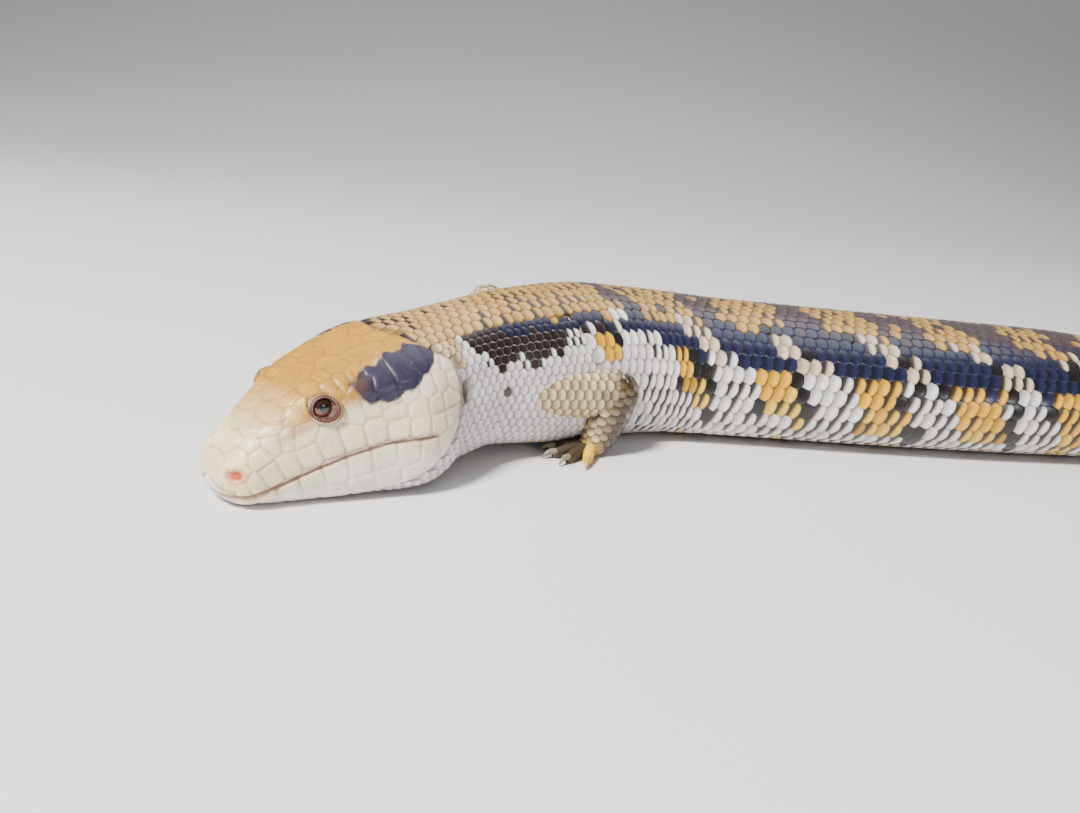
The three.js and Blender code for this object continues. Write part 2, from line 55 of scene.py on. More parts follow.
# Form of the body against arc length
HEADING_DEGREES = [[0, 49], [82, 48], [102, 35], [126, 13], [150, 9], [232, 10], [282, 2], [332, -15],
                   [382, -22], [422, -6], [455, 16]]
HALF_WIDTH = [[0, 7.4], [5, 8.3], [11, 10.1], [17, 12.3], [25, 15.4], [36, 18.8], [42, 17.9], [48, 15.9],
              [56, 16], [66, 18], [78, 20.5], [92, 23], [112, 25.5], [142, 27.5], [190, 28.5], [232, 27.5],
              [262, 22.5], [280, 17.5], [296, 14], [320, 12], [360, 9.3], [400, 6.6], [435, 4], [455, 2.4]]
TOP_HEIGHT = [[0, 10.5], [4, 13], [10, 17.3], [17, 21.9], [25, 25.5], [34, 28.4], [44, 30.2], [58, 32.2],
              [76, 33.9], [92, 34.2], [112, 32.8], [136, 31.2], [180, 30.4], [232, 29.6], [262, 26.6],
              [282, 22.4], [300, 19], [330, 16.4], [370, 12.8], [410, 9], [440, 5.6], [455, 3.4]]
UNDER_HEIGHT = [[0, 0.1], [6, -0.3], [12, -0.6], [38, -0.6], [48, 0.7], [57, 1.9], [67, 0.9], [78, -0.5],
                [90, -0.7], [250, -0.7], [282, -0.5], [330, -0.4], [455, -0.4]]
WIDEST_SHARE = [[0, 0.5], [10, 0.42], [20, 0.34], [36, 0.33], [50, 0.42], [80, 0.42], [260, 0.4],
                [300, 0.46], [455, 0.5]]
UPPER_POWER = [[0, 2.2], [10, 2.9], [20, 3.2], [40, 2.8], [54, 2.3], [90, 2.1], [260, 2.1], [300, 2],
               [455, 2]]
LOWER_POWER = [[0, 2.1], [12, 3], [34, 4], [46, 3.2], [90, 3], [260, 3], [300, 2.3], [455, 2]]
MOUTH_HEIGHT = [[0, 2.2], [4, 2.8], [9, 4.8], [16, 7.8], [22, 10], [29, 11.7], [37, 12.3]]
HEAD_FORMS = [(21, 21.5, 7, 2.4, 0.6), (10.5, 12.5, 4, 2.6, -0.6), (17, 18, 3.2, 2.8, 0.3),
              (27, 17, 6, 3.2, -0.5), (38, 10, 7, 6, 0.6)]
MOUTH_CORNER = 36.5
EYE_ALONG, EYE_OUT, EYE_UP, EYE_BALL = 17.2, 8.1, 18, 2.6
EYE_LOOKS = (-0.2, 1, 0.12)
EYE_HALF_LENGTH, EYE_HALF_HEIGHT, LID_BALL = 1.95, 1.85, 3.05

# Legs: joints as (along, out, up), thickness along each half, and the way the foot points
LEGS = [
    dict(end="fore", flank="left", side=1, turn=14, root=(67, 12.5, 14.4), middle=(86, 21.3, 14),
         ankle=(83, 21, 5), upper=[5.7, 5.8, 5.8], lower=[6, 5.7, 4.4]),
    dict(end="fore", flank="right", side=-1, turn=-14, root=(72, 10, 17), middle=(86.5, 23, 24.8),
         ankle=(84, 28.5, 6.2), upper=[6.2, 5.6, 5], lower=[5.1, 4.4, 3.2]),
    dict(end="hind", flank="left", side=1, turn=-35, root=(274, 8, 11), middle=(259, 27, 12),
         ankle=(273, 33, 4.4), upper=[6.8, 6.2, 5], lower=[5, 4.3, 3.1]),
    dict(end="hind", flank="right", side=-1, turn=-52, root=(276, 8, 11), middle=(268, 27.5, 11),
         ankle=(285, 30, 4.4), upper=[6.8, 6.2, 5], lower=[5, 4.3, 3.1]),
]
TOES = {"fore": [(44, 4), (22, 5.8), (1, 7), (-22, 6.6), (-50, 4.8)],
        "hind": [(46, 4.4), (22, 6.2), (2, 7.8), (-18, 8.8), (-46, 6.2)]}
PALM_LENGTH, PALM_HALF_WIDTH, PALM_HALF_HEIGHT, PALM_UP, PALM_AHEAD = 6.6, 3.7, 2.3, 2.1, 0.28
KNUCKLES_AHEAD, KNUCKLES_SPREAD = 0.62, 0.6
TOE_RADII = [1.45, 1.3, 1.1]
TOE_UP, TOE_BEND, RIDGE_PITCH = [1.9, 1.75, 1.05], 0.55, 1.15
CLAW_LENGTH, CLAW_AHEAD, CLAW_ARCH = 3.2, 0.2, 0.55
CLAW_RADII = [0.8, 0.544, 0.16]
CLAW_UP = [1.45, 1.6, 0.45]
NUDGE = 0.01


def linear(red, green, blue):
    """A colour on the 0 to 255 scale as linear light."""
    share = np.array([red, green, blue], float) / 255
    return np.where(share <= 0.04045, share / 12.92, ((share + 0.055) / 1.055) ** 2.4)


WHITE = linear(240, 236, 234)
LAVENDER = linear(222, 212, 218)
CREAM = linear(242, 230, 202)
ORANGE = linear(238, 176, 26)
YELLOW = linear(246, 200, 62)
BLACK = linear(26, 20, 20)
# A dark scale colour tinted blue: the blue is a painted sky reflection
SKY_SHEEN_DARK = linear(32, 34, 66)
TAN = linear(198, 152, 66)
PURPLE = linear(74, 56, 58)
BROWN = linear(122, 78, 44)
RUST = linear(176, 104, 52)
PINK = linear(214, 160, 140)
MAROON = linear(74, 34, 34)
HORN = linear(196, 186, 156)
OLIVE = linear(96, 72, 40)
CROWN = linear(190, 140, 40)
SNOUT = linear(246, 230, 178)
LIP = linear(247, 231, 198)
LORE = linear(236, 206, 160)
NARES = linear(196, 78, 40)


# Smooth curve through a few [station, value] pairs, which never swings past them
def curve_through(knots):
    knots = np.array(knots, float)
    x, y = knots[:, 0], knots[:, 1]
    slopes = np.diff(y) / np.diff(x)
    tangents = np.empty(len(x))
    tangents[0], tangents[-1] = slopes[0], slopes[-1]
    product = slopes[:-1] * slopes[1:]
    total = np.where(product > 0, slopes[:-1] + slopes[1:], 1)
    tangents[1:-1] = np.where(product > 0, 2 * product / total, 0)

    def value(station):
        s = np.clip(station, x[0], x[-1])
        i = np.clip(np.searchsorted(x, s, side="right") - 1, 0, len(x) - 2)
        span = x[i + 1] - x[i]
        t = (s - x[i]) / span
        lift = t * t * (3 - 2 * t)
        bend = tangents[i] * t * (1 - t) ** 2 - tangents[i + 1] * t * t * (1 - t)
        return y[i] * (1 - lift) + y[i + 1] * lift + span * bend

    return value


heading_at = curve_through(HEADING_DEGREES)
half_width_at = curve_through(HALF_WIDTH)
top_at = curve_through(TOP_HEIGHT)
under_at = curve_through(UNDER_HEIGHT)
widest_at = curve_through(WIDEST_SHARE)
upper_power_at = curve_through(UPPER_POWER)
lower_power_at = curve_through(LOWER_POWER)
mouth_at = curve_through(MOUTH_HEIGHT)


def walk_spine():
    turns = np.radians(heading_at(np.arange(TOTAL_LENGTH) + 0.5))
    steps = np.stack([np.cos(turns), np.sin(turns)], 1)
    points = np.concatenate([np.zeros((1, 2)), np.cumsum(steps, 0)])
    return points - points[ORIGIN_STATION]


SPINE = walk_spine()
STATIONS = np.arange(TOTAL_LENGTH + 1)


def place(along, out, up):
    """A place on the animal as a point in the part's frame."""
    along, out, up = np.broadcast_arrays(np.asarray(along, float), out, up)
    turn = np.radians(heading_at(along))
    x = np.interp(along, STATIONS, SPINE[:, 0]) + out * np.sin(turn)
    y = np.interp(along, STATIONS, SPINE[:, 1]) - out * np.cos(turn)
    return np.stack([x, y, up], -1)


def unit(vectors):
    return vectors / np.maximum(np.linalg.norm(vectors, axis=-1, keepdims=True), 1e-9)


def smooth_step(low, high, value):
    t = np.clip((value - low) / (high - low), 0, 1)
    return t * t * (3 - 2 * t)


def read(table, at):
    """Value from [place, value] pairs, in straight lines between them."""
    table = np.array(table, float)
    return np.interp(at, table[:, 0], table[:, 1])


def mix(under, over, amount):
    """One colour or place turned into another by an amount from 0 to 1."""
    amount = np.asarray(amount)[..., None]
    return under * (1 - amount) + over * amount


def section_at(along):
    """Half width, heights and powers of the body's section at a station."""
    snout = 1 - np.minimum(along / SNOUT_ROUNDING, 1)
    tail = 1 - np.minimum((TOTAL_LENGTH - along) / TAIL_ROUNDING, 1)
    opened = np.sqrt(np.maximum(1 - snout**2, 0)) * np.sqrt(np.maximum(1 - tail**2, 0))
    tip = np.where(along < TOTAL_LENGTH / 2, SNOUT_TIP_UP, TAIL_TIP_UP)
    top = tip + (top_at(along) - tip) * opened
    under = tip + (under_at(along) - tip) * opened
    widest = under + (top - under) * widest_at(along)
    return half_width_at(along) * opened, top, under, widest


def soft_spot(along, up, centre, height, reach, spread):
    """1 at a place, fading round it."""
    return np.exp(-(((along - centre) / reach) ** 2) - ((up - height) / spread) ** 2)


def relief_at(along, up):
    """How far the head's own forms stand out beyond the plain section."""
    return sum(out * soft_spot(along, up, *form) for *form, out in HEAD_FORMS)


def side_at(along, up):
    """Distance of the skin from the spine's plane at a height."""
    half, top, under, widest = section_at(along)
    upper = up > widest
    reach = np.where(upper, top - widest, widest - under)
    power = np.where(upper, upper_power_at(along), lower_power_at(along))
    rise = np.minimum(np.abs(up - widest) / reach, 1)
    return half * (1 - rise**power) ** (1 / power) + relief_at(along, up)


GIRTH_TURNS = 721
RELIEF_FADE = 3


class Sheet:
    """A surface closed round its girth: a table of points by station and girth share."""

    def __init__(self, along, points):
        self.along = along
        self.points = points
        step = np.gradient(points, along, axis=0)
        around = np.roll(points[:, :-1], -1, 1) - np.roll(points[:, :-1], 1, 1)
        around = np.concatenate([around, around[:, :1]], 1)
        normals = unit(np.cross(step, around))
        middles = points[:, :-1].mean(1, keepdims=True)
        if ((points - middles) * normals).sum() < 0:
            normals = -normals
        self.normals = normals
        self.girths = np.linalg.norm(np.diff(points, axis=1), axis=2).sum(1)

    def girth(self, along):
        return np.interp(along, self.along, self.girths)

    def at(self, along, share):
        columns = self.points.shape[1] - 1
        row = np.interp(along, self.along, np.arange(len(self.along)))
        column = (share % 1) * columns
        r = np.clip(row.astype(int), 0, len(self.along) - 2)
        c = np.minimum(column.astype(int), columns - 1)
        fr, fc = (row - r)[..., None], (column - c)[..., None]

        def mixed(table):
            near = table[r, c] * (1 - fc) + table[r, c + 1] * fc
            far = table[r + 1, c] * (1 - fc) + table[r + 1, c + 1] * fc
            return near * (1 - fr) + far * fr

        return mixed(self.points), unit(mixed(self.normals))


def body_sheet(stations, columns):
    """The whole body's outer surface, flat where it rests on the floor."""
    turns = np.linspace(-math.pi / 2, 1.5 * math.pi, GIRTH_TURNS)
    sine, cosine = np.sin(turns), np.cos(turns)
    along = stations[:, None]
    half, top, under, widest = section_at(along)
    upper = sine > 0
    power = np.where(upper, upper_power_at(along), lower_power_at(along))
    reach = np.where(upper, top - widest, widest - under)
    up = widest + np.sign(sine) * reach * np.abs(sine) ** (2 / power)
    across = np.abs(cosine) ** (2 / power)
    out = np.sign(cosine) * (half * across + relief_at(along, up) * np.minimum(1, RELIEF_FADE * across))
    up = np.maximum(up, 0)
    lengths = np.hypot(np.diff(out, axis=1), np.diff(up, axis=1))
    travelled = np.concatenate([np.zeros((len(stations), 1)), np.cumsum(lengths, 1)], 1)
    shares = np.linspace(0, 1, columns + 1)
    even_out = np.array([np.interp(shares * t[-1], t, o) for t, o in zip(travelled, out)])
    even_up = np.array([np.interp(shares * t[-1], t, u) for t, u in zip(travelled, up)])
    return Sheet(stations, place(along, even_out, even_up))


BODY_STATIONS = np.concatenate([[0.02, 0.08, 0.2, 0.4, 0.65], np.arange(1, TOTAL_LENGTH - 1, 0.5),
                                [454.4, 454.8]])
BODY = body_sheet(BODY_STATIONS, 240)


def girth_height(share):
    """0 at the belly's midline and 1 at the back's, on either side."""
    return 1 - np.abs(1 - 2 * (share % 1))


def body_depth(points):
    """Whether points lie inside the body: below 1 inside, above 1 outside."""
    gaps = np.linalg.norm(points[:, None, :2] - SPINE[None, :, :], axis=2)
    along = gaps.argmin(1).astype(float)
    turn = np.radians(heading_at(along))
    centre = SPINE[along.astype(int)]
    out = (points[:, 0] - centre[:, 0]) * np.sin(turn) - (points[:, 1] - centre[:, 1]) * np.cos(turn)
    half, top, under, widest = section_at(along)
    upper = points[:, 2] > widest
    reach = np.where(upper, top - widest, widest - under)
    power = np.where(upper, upper_power_at(along), lower_power_at(along))
    value = np.abs(out / half) ** power + np.minimum(np.abs(points[:, 2] - widest) / reach, 3) ** power
    return value ** (1 / power)


# Mesh making
def make_mesh(name, points, faces, tint, gloss, patch, material):
    """A mesh from points, lists of faces by corner count, and its colour, gloss and unwrap by point."""
    mesh = bpy.data.meshes.new(name)
    corners = np.concatenate([f.ravel() for f in faces])
    sizes = np.concatenate([np.full(len(f), f.shape[1]) for f in faces])
    mesh.vertices.add(len(points))
    mesh.vertices.foreach_set("co", (points * MM).astype(np.float32).ravel())
    mesh.loops.add(len(corners))
    mesh.loops.foreach_set("vertex_index", corners.astype(np.int32))
    mesh.polygons.add(len(sizes))
    mesh.polygons.foreach_set("loop_start", (np.cumsum(sizes) - sizes).astype(np.int32))
    mesh.update(calc_edges=True)
    mesh.polygons.foreach_set("use_smooth", np.ones(len(sizes), bool))
    rgba = np.ones((len(points), 4), np.float32)
    rgba[:, :3] = np.clip(tint, 0, 1)
    mesh.attributes.new("tint", "FLOAT_COLOR", "POINT").data.foreach_set("color", rgba.ravel())
    mesh.attributes.new("gloss", "FLOAT", "POINT").data.foreach_set("value", gloss.astype(np.float32))
    unwrap = mesh.uv_layers.new(name="OFBake")
    unwrap.data.foreach_set("uv", patch[corners].astype(np.float32).ravel())
    mesh.materials.append(material)
    piece = bpy.data.objects.new(name, mesh)
    bpy.context.scene.collection.objects.link(piece)
    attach(piece, "root")
    return piece


def ring_grid(stations, sides):
    """Station and girth share of points in rings."""
    return np.meshgrid(stations, np.arange(sides) / sides, indexing="ij")


def ring_faces(rings, sides, first=0):
    """Quads between closed rings of points."""
    r, i = np.meshgrid(np.arange(rings - 1), np.arange(sides), indexing="ij")
    a = r * sides + i
    b = r * sides + (i + 1) % sides
    return first + np.stack([a, b, b + sides, a + sides], -1).reshape(-1, 4)


# One scale: a domed plate of GRID × GRID points over a rim and an underside
GRID = 7
OUTLINE_POWER = 2.1
PLATE_TIP = 0.16
PLATE_REACH = 0.7
PLATE_HALF = 2.2
PLATE_TILT, PLATE_DOME = 0.46, 0.07
RIM_FROM, RIM_DROP = 0.99, 0.045
FRONT_FADE = (0.35, -0.25)
DARK_FRONT, DARK_FRONT_REACH = 0.02, 0.18
PATCH_HALF = 0.0015


def plate_grid():
    steps = np.linspace(-1, 1, GRID)
    v, u = np.meshgrid(np.sin(steps * math.pi / 2) * 0.6 + steps * 0.4, steps, indexing="ij")
    width = PLATE_TIP + (1 - PLATE_TIP) * (1 - np.abs(v) ** OUTLINE_POWER) ** (1 / OUTLINE_POWER)
    index = np.arange(GRID * GRID).reshape(GRID, GRID)
    top = np.stack([index[:-1, :-1], index[:-1, 1:], index[1:, 1:], index[1:, :-1]], -1).reshape(-1, 4)
    rim = np.concatenate([index[0, :-1], index[:-1, -1], index[-1, :0:-1], index[:0:-1, 0]])
    low = GRID * GRID + np.arange(len(rim))
    wall = np.stack([np.roll(rim, -1), rim, low, np.roll(low, -1)], -1)
    centre = np.full(len(rim), GRID * GRID + len(rim))
    under = np.stack([np.roll(low, -1), low, centre], -1)
    return u.ravel(), v.ravel(), width.ravel(), rim, np.concatenate([top, wall]), under


PLATE_U, PLATE_V, PLATE_WIDTH, PLATE_RIM, PLATE_QUADS, PLATE_TRIANGLES = plate_grid()
PLATE_POINTS = GRID * GRID + len(PLATE_RIM) + 1
PLATE_EDGE = np.maximum(np.abs(PLATE_U), np.abs(PLATE_V))


def plates(name, sheet, along, share, half_length, half_width, paint, coat=COAT, tilt=PLATE_TILT,
           dome=PLATE_DOME, lean=0.0):
    """Overlapping scales set on a sheet, each tilted up towards its free rear edge."""
    count = len(along)
    forward = half_length[:, None] * PLATE_V
    sideways = half_width[:, None] * PLATE_U * PLATE_WIDTH
    lean = np.broadcast_to(lean, along.shape)[:, None]
    a = along[:, None] + forward * np.cos(lean) - sideways * np.sin(lean)
    y = share[:, None] + (sideways * np.cos(lean) + forward * np.sin(lean)) / sheet.girth(a)
    base, normal = sheet.at(a, y)
    size = (half_length / PLATE_HALF)[:, None]
    rise = size * (tilt * (PLATE_V + 1) / 2 + dome * (1 - PLATE_U**2) * (1 - PLATE_V**2))
    rise = rise - size * RIM_DROP * (PLATE_EDGE > RIM_FROM)
    top = base + normal * (rise - coat)[..., None]
    low = top[:, PLATE_RIM] - normal[:, PLATE_RIM] * (PLATE_THICKNESS * size)[..., None]
    centre = low.mean(1, keepdims=True)
    points = np.concatenate([top, low, centre], 1).reshape(-1, 3)
    points[:, 2] = np.maximum(points[:, 2], 0.001)
    body, rim, front, gloss = paint
    dark_front = np.where(front.max(1) < DARK_FRONT, DARK_FRONT_REACH, 0)[:, None]
    # The outer points take the rim colour and the front part fades into the front colour: painted shade along
    # the seams, a painted sheen on the rims of dark scales, and black flecks of the markings where the front
    # is black. The wall and underside get a darker copy of the rim, as painted shade under the scale.
    tint = mix(body[:, None], rim[:, None], PLATE_EDGE > RIM_FROM)
    tint = mix(tint, front[:, None], smooth_step(*FRONT_FADE, PLATE_V - dark_front))
    underside_shade = np.repeat(rim[:, None] * 0.6, len(PLATE_RIM) + 1, 1)
    tint = np.concatenate([tint, underside_shade], 1).reshape(-1, 3)
    shift = PLATE_POINTS * np.arange(count)[:, None, None]
    faces = [(PLATE_QUADS[None] + shift).reshape(-1, 4), (PLATE_TRIANGLES[None] + shift).reshape(-1, 3)]
    all_u = np.concatenate([PLATE_U, PLATE_U[PLATE_RIM], [0]])
    all_v = np.concatenate([PLATE_V, PLATE_V[PLATE_RIM], [0]])
    travelled = (along - sheet.along[0]) / (sheet.along[-1] - sheet.along[0])
    patch = np.stack([(0.02 + 0.96 * travelled)[:, None] + PATCH_HALF * all_v,
                      (share % 1)[:, None] + PATCH_HALF * all_u], -1).reshape(-1, 2)
    return make_mesh(name, points, faces, tint, np.repeat(gloss, PLATE_POINTS), patch, SCALE_LOOK)


# Markings of the body: bands of the back and flank, numbered from the neck, and curves against arc length
BAND_CENTRES = np.array([58, 84, 115, 140.8, 166.8, 193.8, 219.5, 245, 269, 293, 317, 341, 364, 386, 407,
                         427, 446])
ORANGE_SHARES = np.array([0, 0.14, 0.34, 0.34, 0.42, 0.5, 0.5, 0.5, 0.44] + [0.4] * 8)
BAND_PITCH = 25.5
DARK_BAND_HALF = [[80, 0.1], [130, 0.19], [200, 0.26], [260, 0.27], [300, 0.3], [455, 0.3]]
DARK_BAND_SHIFT, BACK_BANDS_FROM = 0.08, 72
PATCH_TOP = [[90, 0.695], [105, 0.68], [118, 0.64], [141, 0.605], [167, 0.59]]
PATCH_LOW = [[80, 0.59], [115, 0.485], [141, 0.44], [167, 0.4], [220, 0.37], [300, 0.34]]
PATCHES_FROM, TAIL_FROM, SPECKS_FROM, BARS_FROM = 100, 288, 88, 110
STREAK_LOW = [[44, 0.7], [52, 0.645], [58, 0.62], [64, 0.61], [72, 0.645], [80, 0.685], [100, 0.69]]
STREAK_TOP = [[40, 0.79], [50, 0.795], [60, 0.8], [84, 0.79], [100, 0.73]]
FLECK_CHANCE = [[0.25, 0.35], [0.33, 0.85], [0.48, 0.6], [0.6, 0.4], [0.775, 0.5], [0.78, 0.35], [1, 0.35]]
# Girth heights where the markings change
CREAM_TOP, BAR_TOP, NECK_TOP, BACK_LOW, NAPE_LOW = 0.3, 0.34, 0.66, 0.775, 0.8
# The bands lean: forward over the back, backward down the flank
LEAN_FROM, BACK_LEAN, FLANK_LEAN, LEAN_LOW = 0.6, 19, 20, 0.2
GIRTH_SCATTER, ALONG_SCATTER = 0.012, 0.7
DULL, SHINY = 0.45, 0.9


def markings(along, share, scatter=1.0):
    """Body colour, rim colour, front colour and gloss at places on the body."""
    count = len(along)
    g = girth_height(share) + rng.normal(0, GIRTH_SCATTER, count) * scatter
    s = along + rng.normal(0, ALONG_SCATTER, count) * scatter
    chance, second = rng.random(count), rng.random(count)
    slant = np.where(g > LEAN_FROM, 1 - BACK_LEAN * smooth_step(0.56, 0.86, g),
                     (LEAN_FROM - np.maximum(g, LEAN_LOW)) * FLANK_LEAN)
    run = s - slant
    band = np.abs(run[:, None] - BAND_CENTRES[None]).argmin(1)
    phase = (run - BAND_CENTRES[band]) / BAND_PITCH
    orange_half = ORANGE_SHARES[band] / 2
    trunk = s > 97 + 6 * (LEAN_FROM - g)
    tail = s > TAIL_FROM
    colour = np.repeat(WHITE[None], count, 0)
    gloss = np.full(count, DULL)

    def lay(mask, new, shine=DULL):
        colour[mask] = new
        gloss[mask] = shine

    # Throat and side of the neck, then the pale underside with its specks and bars
    lay(~trunk & (g < NECK_TOP), LAVENDER * 0.55 + WHITE * 0.45)
    lay((g < CREAM_TOP) & trunk, CREAM * 0.5 + WHITE * 0.5)
    lay((g < 0.27) & (chance < 0.22), YELLOW * 0.6 + CREAM * 0.4)
    lay((g < BAR_TOP) & (s > SPECKS_FROM) & (second < 0.06), BLACK, 0.5)
    low_bar = (g < BAR_TOP) & (np.abs(phase) < 0.2) & (chance < 0.5) & (s > BARS_FROM)
    lay(low_bar, ORANGE * 0.4 + CREAM * 0.6)
    # Warm patches along the flank, each with a dark rear border
    patch_top, low = read(PATCH_TOP, s), read(PATCH_LOW, s)
    patch = (np.abs(phase) < orange_half) & (g > low) & (g < patch_top) & (s > PATCHES_FROM) & ~tail
    rear = (phase > orange_half) & (phase < orange_half + 0.13) & (s > PATCHES_FROM)
    rear &= (g > low - 0.05) & (g < patch_top + 0.04) & (chance < 0.88)
    lay(rear, BLACK, 0.6)
    ahead = (phase < -orange_half) & (phase > -orange_half - 0.06)
    lay(ahead & trunk & (g > 0.38) & (second < 0.3), BLACK, 0.6)
    lay(patch, ORANGE)
    lay(patch & (g < low + 0.07), YELLOW)
    lay(patch & (g < low + 0.05) & (chance < 0.25), ORANGE * 0.6)
    # Dark zone above the flank, broken by pale bars; its blue tint is a painted sky reflection on dark scales
    zone = (g > patch_top) & (g <= BACK_LOW) & trunk
    bar = (phase < -0.33) | (phase > 0.36)
    lay(zone, SKY_SHEEN_DARK, SHINY)
    lay(zone & bar, WHITE * 0.45 + TAN * 0.55)
    lay(zone & bar & (chance < 0.2), BLACK, 0.7)
    # Back: tan with dark bands
    back = (g > BACK_LOW) & (s > 25)
    lay(back, TAN)
    dark_half = read(DARK_BAND_HALF, s)
    dark = back & (np.abs(phase - DARK_BAND_SHIFT) < dark_half) & (s > BACK_BANDS_FROM)
    lay(dark, PURPLE, 0.7)
    # The lower part of a dark band takes some painted blue sky reflection
    lay(dark & (g < 0.85), PURPLE * 0.5 + SKY_SHEEN_DARK * 0.5, 0.85)
    lay(dark & (chance < 0.1), TAN * 0.8)
    lay(back & ~dark & (chance < 0.06) & (s > PATCHES_FROM), PURPLE * 0.7, 0.6)
    # Tail: the bands go round it
    lay(tail & (g < 0.6), CREAM * 0.7 + WHITE * 0.3)
    lay(tail & (g > 0.6), TAN)
    lay(tail & (np.abs(phase - 0.05) < 0.29) & (g > 0.2), PURPLE * 0.6 + BLACK * 0.3, 0.7)
    lay(tail & (np.abs(phase + 0.36) < 0.07) & (g > 0.3) & (g < 0.7), YELLOW * 0.7)
    # Nape, and the streak along the neck: dark with a painted blue sky reflection above, brown with drips
    # below
    lay((s < 47) & (g > NECK_TOP), TAN * 0.45 + CREAM * 0.5)
    lay((s < 60) & (g > NAPE_LOW), TAN * 0.85 + CREAM * 0.12)
    streak_low = read(STREAK_LOW, s)
    streak = (g > streak_low) & (g < read(STREAK_TOP, s)) & (s > 51 - 30 * (g - 0.7)) & ~trunk
    lay(streak, SKY_SHEEN_DARK, SHINY)
    drips = streak & ((g < 0.735) | (s < 58)) & (s < 84)
    lay(drips, BLACK * 0.7 + MAROON * 0.3, 0.75)
    lay(streak & (g < streak_low + 0.03) & (chance < 0.45), WHITE, 0.5)
    # First patch, above the foreleg, between pale and dark scales
    rise = (NECK_TOP - g) * FLANK_LEAN
    lay((np.abs(s - 88.5 - rise) < 1.8) & (g > 0.61) & (g < 0.69), BLACK, 0.6)
    lay((np.abs(s - 79) < 3.6) & (g > 0.6) & (g < 0.725), WHITE)
    lay((np.abs(s - 84.5 - rise) < 3) & (g > 0.605) & (g < 0.72), ORANGE)
    lay(~trunk & (g < streak_low) & (g > CREAM_TOP) & (second < 0.008), PURPLE)

    # Rims and fronts: darker than the scale as painted shade, lighter on dark scales as a painted sheen, and
    # black in some fronts as flecks of the markings
    pale = colour.mean(1, keepdims=True) > 0.25
    warm = (colour[:, :1] > 2.2 * colour[:, 2:]) & pale
    rim = np.where(pale, colour * 0.6, colour * 1.7 + 0.015)
    rim = np.where(warm, colour * 0.4 + BROWN * 0.3, rim)
    # Drips get a pale lavender rim, a painted sheen on dark scales
    rim[drips] = LAVENDER * 0.3
    front = np.where(warm, colour * 0.3 + BROWN * 0.15, colour * 0.34)
    fleck_chance = np.where((s < 92) & (g > NAPE_LOW), 0.3, read(FLECK_CHANCE, g))
    edged = pale[:, 0] & (trunk | (g > 0.79)) & (rng.random(count) < fleck_chance)
    front[edged] = BLACK * 1.1
    neck = ~trunk & (g < 0.7)
    front[neck] = colour[neck] * 0.5
    front[streak] = BLACK
    return colour, rim, front, gloss


def singles(*seeds):
    """Shields of one seed each."""
    return [[seed] for seed in seeds]


# Shields of the head: each is the skin nearest to its seeds, (along, girth height), mirrored to the other
# side. Those of the snout span the midline, and so does any shield with a seed on it.
SNOUT_SHIELDS = [
    [(0.5, 0.4), (0.5, 0.62), (0.5, 0.85), (0.5, 1.0), (1.4, 0.42)], [(2.5, 0.56), (2.9, 0.72)],
    *singles((3.6, 0.92), (5.0, 0.76)),
]
SHIELDS = SNOUT_SHIELDS + [
    # Crown
    [(6.8, 1.0), (6.6, 0.9)], [(9.9, 0.9), (10.0, 0.82)],
    [(13.2, 1.0), (15.8, 1.0), (18.6, 1.0), (13.6, 0.955), (16.4, 0.95)],
    *singles((13.2, 0.865), (16.2, 0.86), (19.2, 0.865), (22.0, 0.875)),
    *singles((11.9, 0.775), (14.0, 0.79), (16.3, 0.795), (18.7, 0.8), (21.0, 0.805), (23.3, 0.81)),
    *singles((22.4, 0.95)),
    [(25.9, 1.0), (28.6, 1.0)], [(27.2, 0.905), (30.2, 0.9)], *singles((33.4, 0.955), (34.6, 0.88)),
    # Between nostril and eye, then the upper lip
    *singles((5.8, 0.64), (8.2, 0.68), (10.6, 0.655), (12.6, 0.625), (8.6, 0.765)),
    *singles((2.9, 0.42), (4.7, 0.46), (7.4, 0.5), (10.3, 0.52), (13.5, 0.53), (17.1, 0.545), (20.9, 0.555)),
    *singles((24.9, 0.56), (29.0, 0.555), (33.1, 0.545), (36.8, 0.54)),
    # Chin, lower lip and the row under it
    [(0.6, 0.2), (0.6, 0.05), (1.6, 0.25)],
    *singles((4.2, 0.27), (7.2, 0.315), (10.6, 0.35), (14.3, 0.385), (18.2, 0.41), (22.3, 0.43)),
    *singles((26.5, 0.445), (30.8, 0.45), (35.0, 0.45), (38.8, 0.46)),
    *singles((5.4, 0.12), (9.6, 0.17), (14.0, 0.24), (18.6, 0.29), (23.2, 0.33), (27.6, 0.36), (32.0, 0.37)),
    # Behind the eye, temple and cheek
    *singles((21.8, 0.635), (24.4, 0.64), (23.6, 0.73)),
    [(27.2, 0.71), (27.0, 0.79)], [(31.6, 0.72), (31.2, 0.79)],
    [(35.4, 0.74), (35.2, 0.8)], [(38.4, 0.74), (38.6, 0.8)],
    *singles((27.8, 0.655), (31.4, 0.66), (35.0, 0.66), (38.6, 0.665), (28.6, 0.6), (32.8, 0.6), (36.6, 0.6)),
    *singles((40.2, 0.6), (41.8, 0.655), (40.6, 0.54), (41.0, 0.72), (42.6, 0.5)),
]
MIDLINE_HEIGHTS = (0.05, 1.0)
FAR = 1e9
# Where the head's shields end and the body's scales begin, by girth height
shield_end_at = curve_through([[0, 10], [0.16, 14], [0.26, 22], [0.36, 33], [0.44, 40], [0.5, 42.5],
                               [0.6, 43.5], [0.7, 43], [0.78, 39], [0.88, 36.5], [1.0, 35]])
# Depth of the skin of the head below the plain form, and of the seams between its shields
SHIELD_DEPTH, SEAM_SLOPE, SEAM_DEPTH, SLOPE_REACH, GROOVE_REACH = 0.05, 0.13, 0.1, 0.8, 0.3
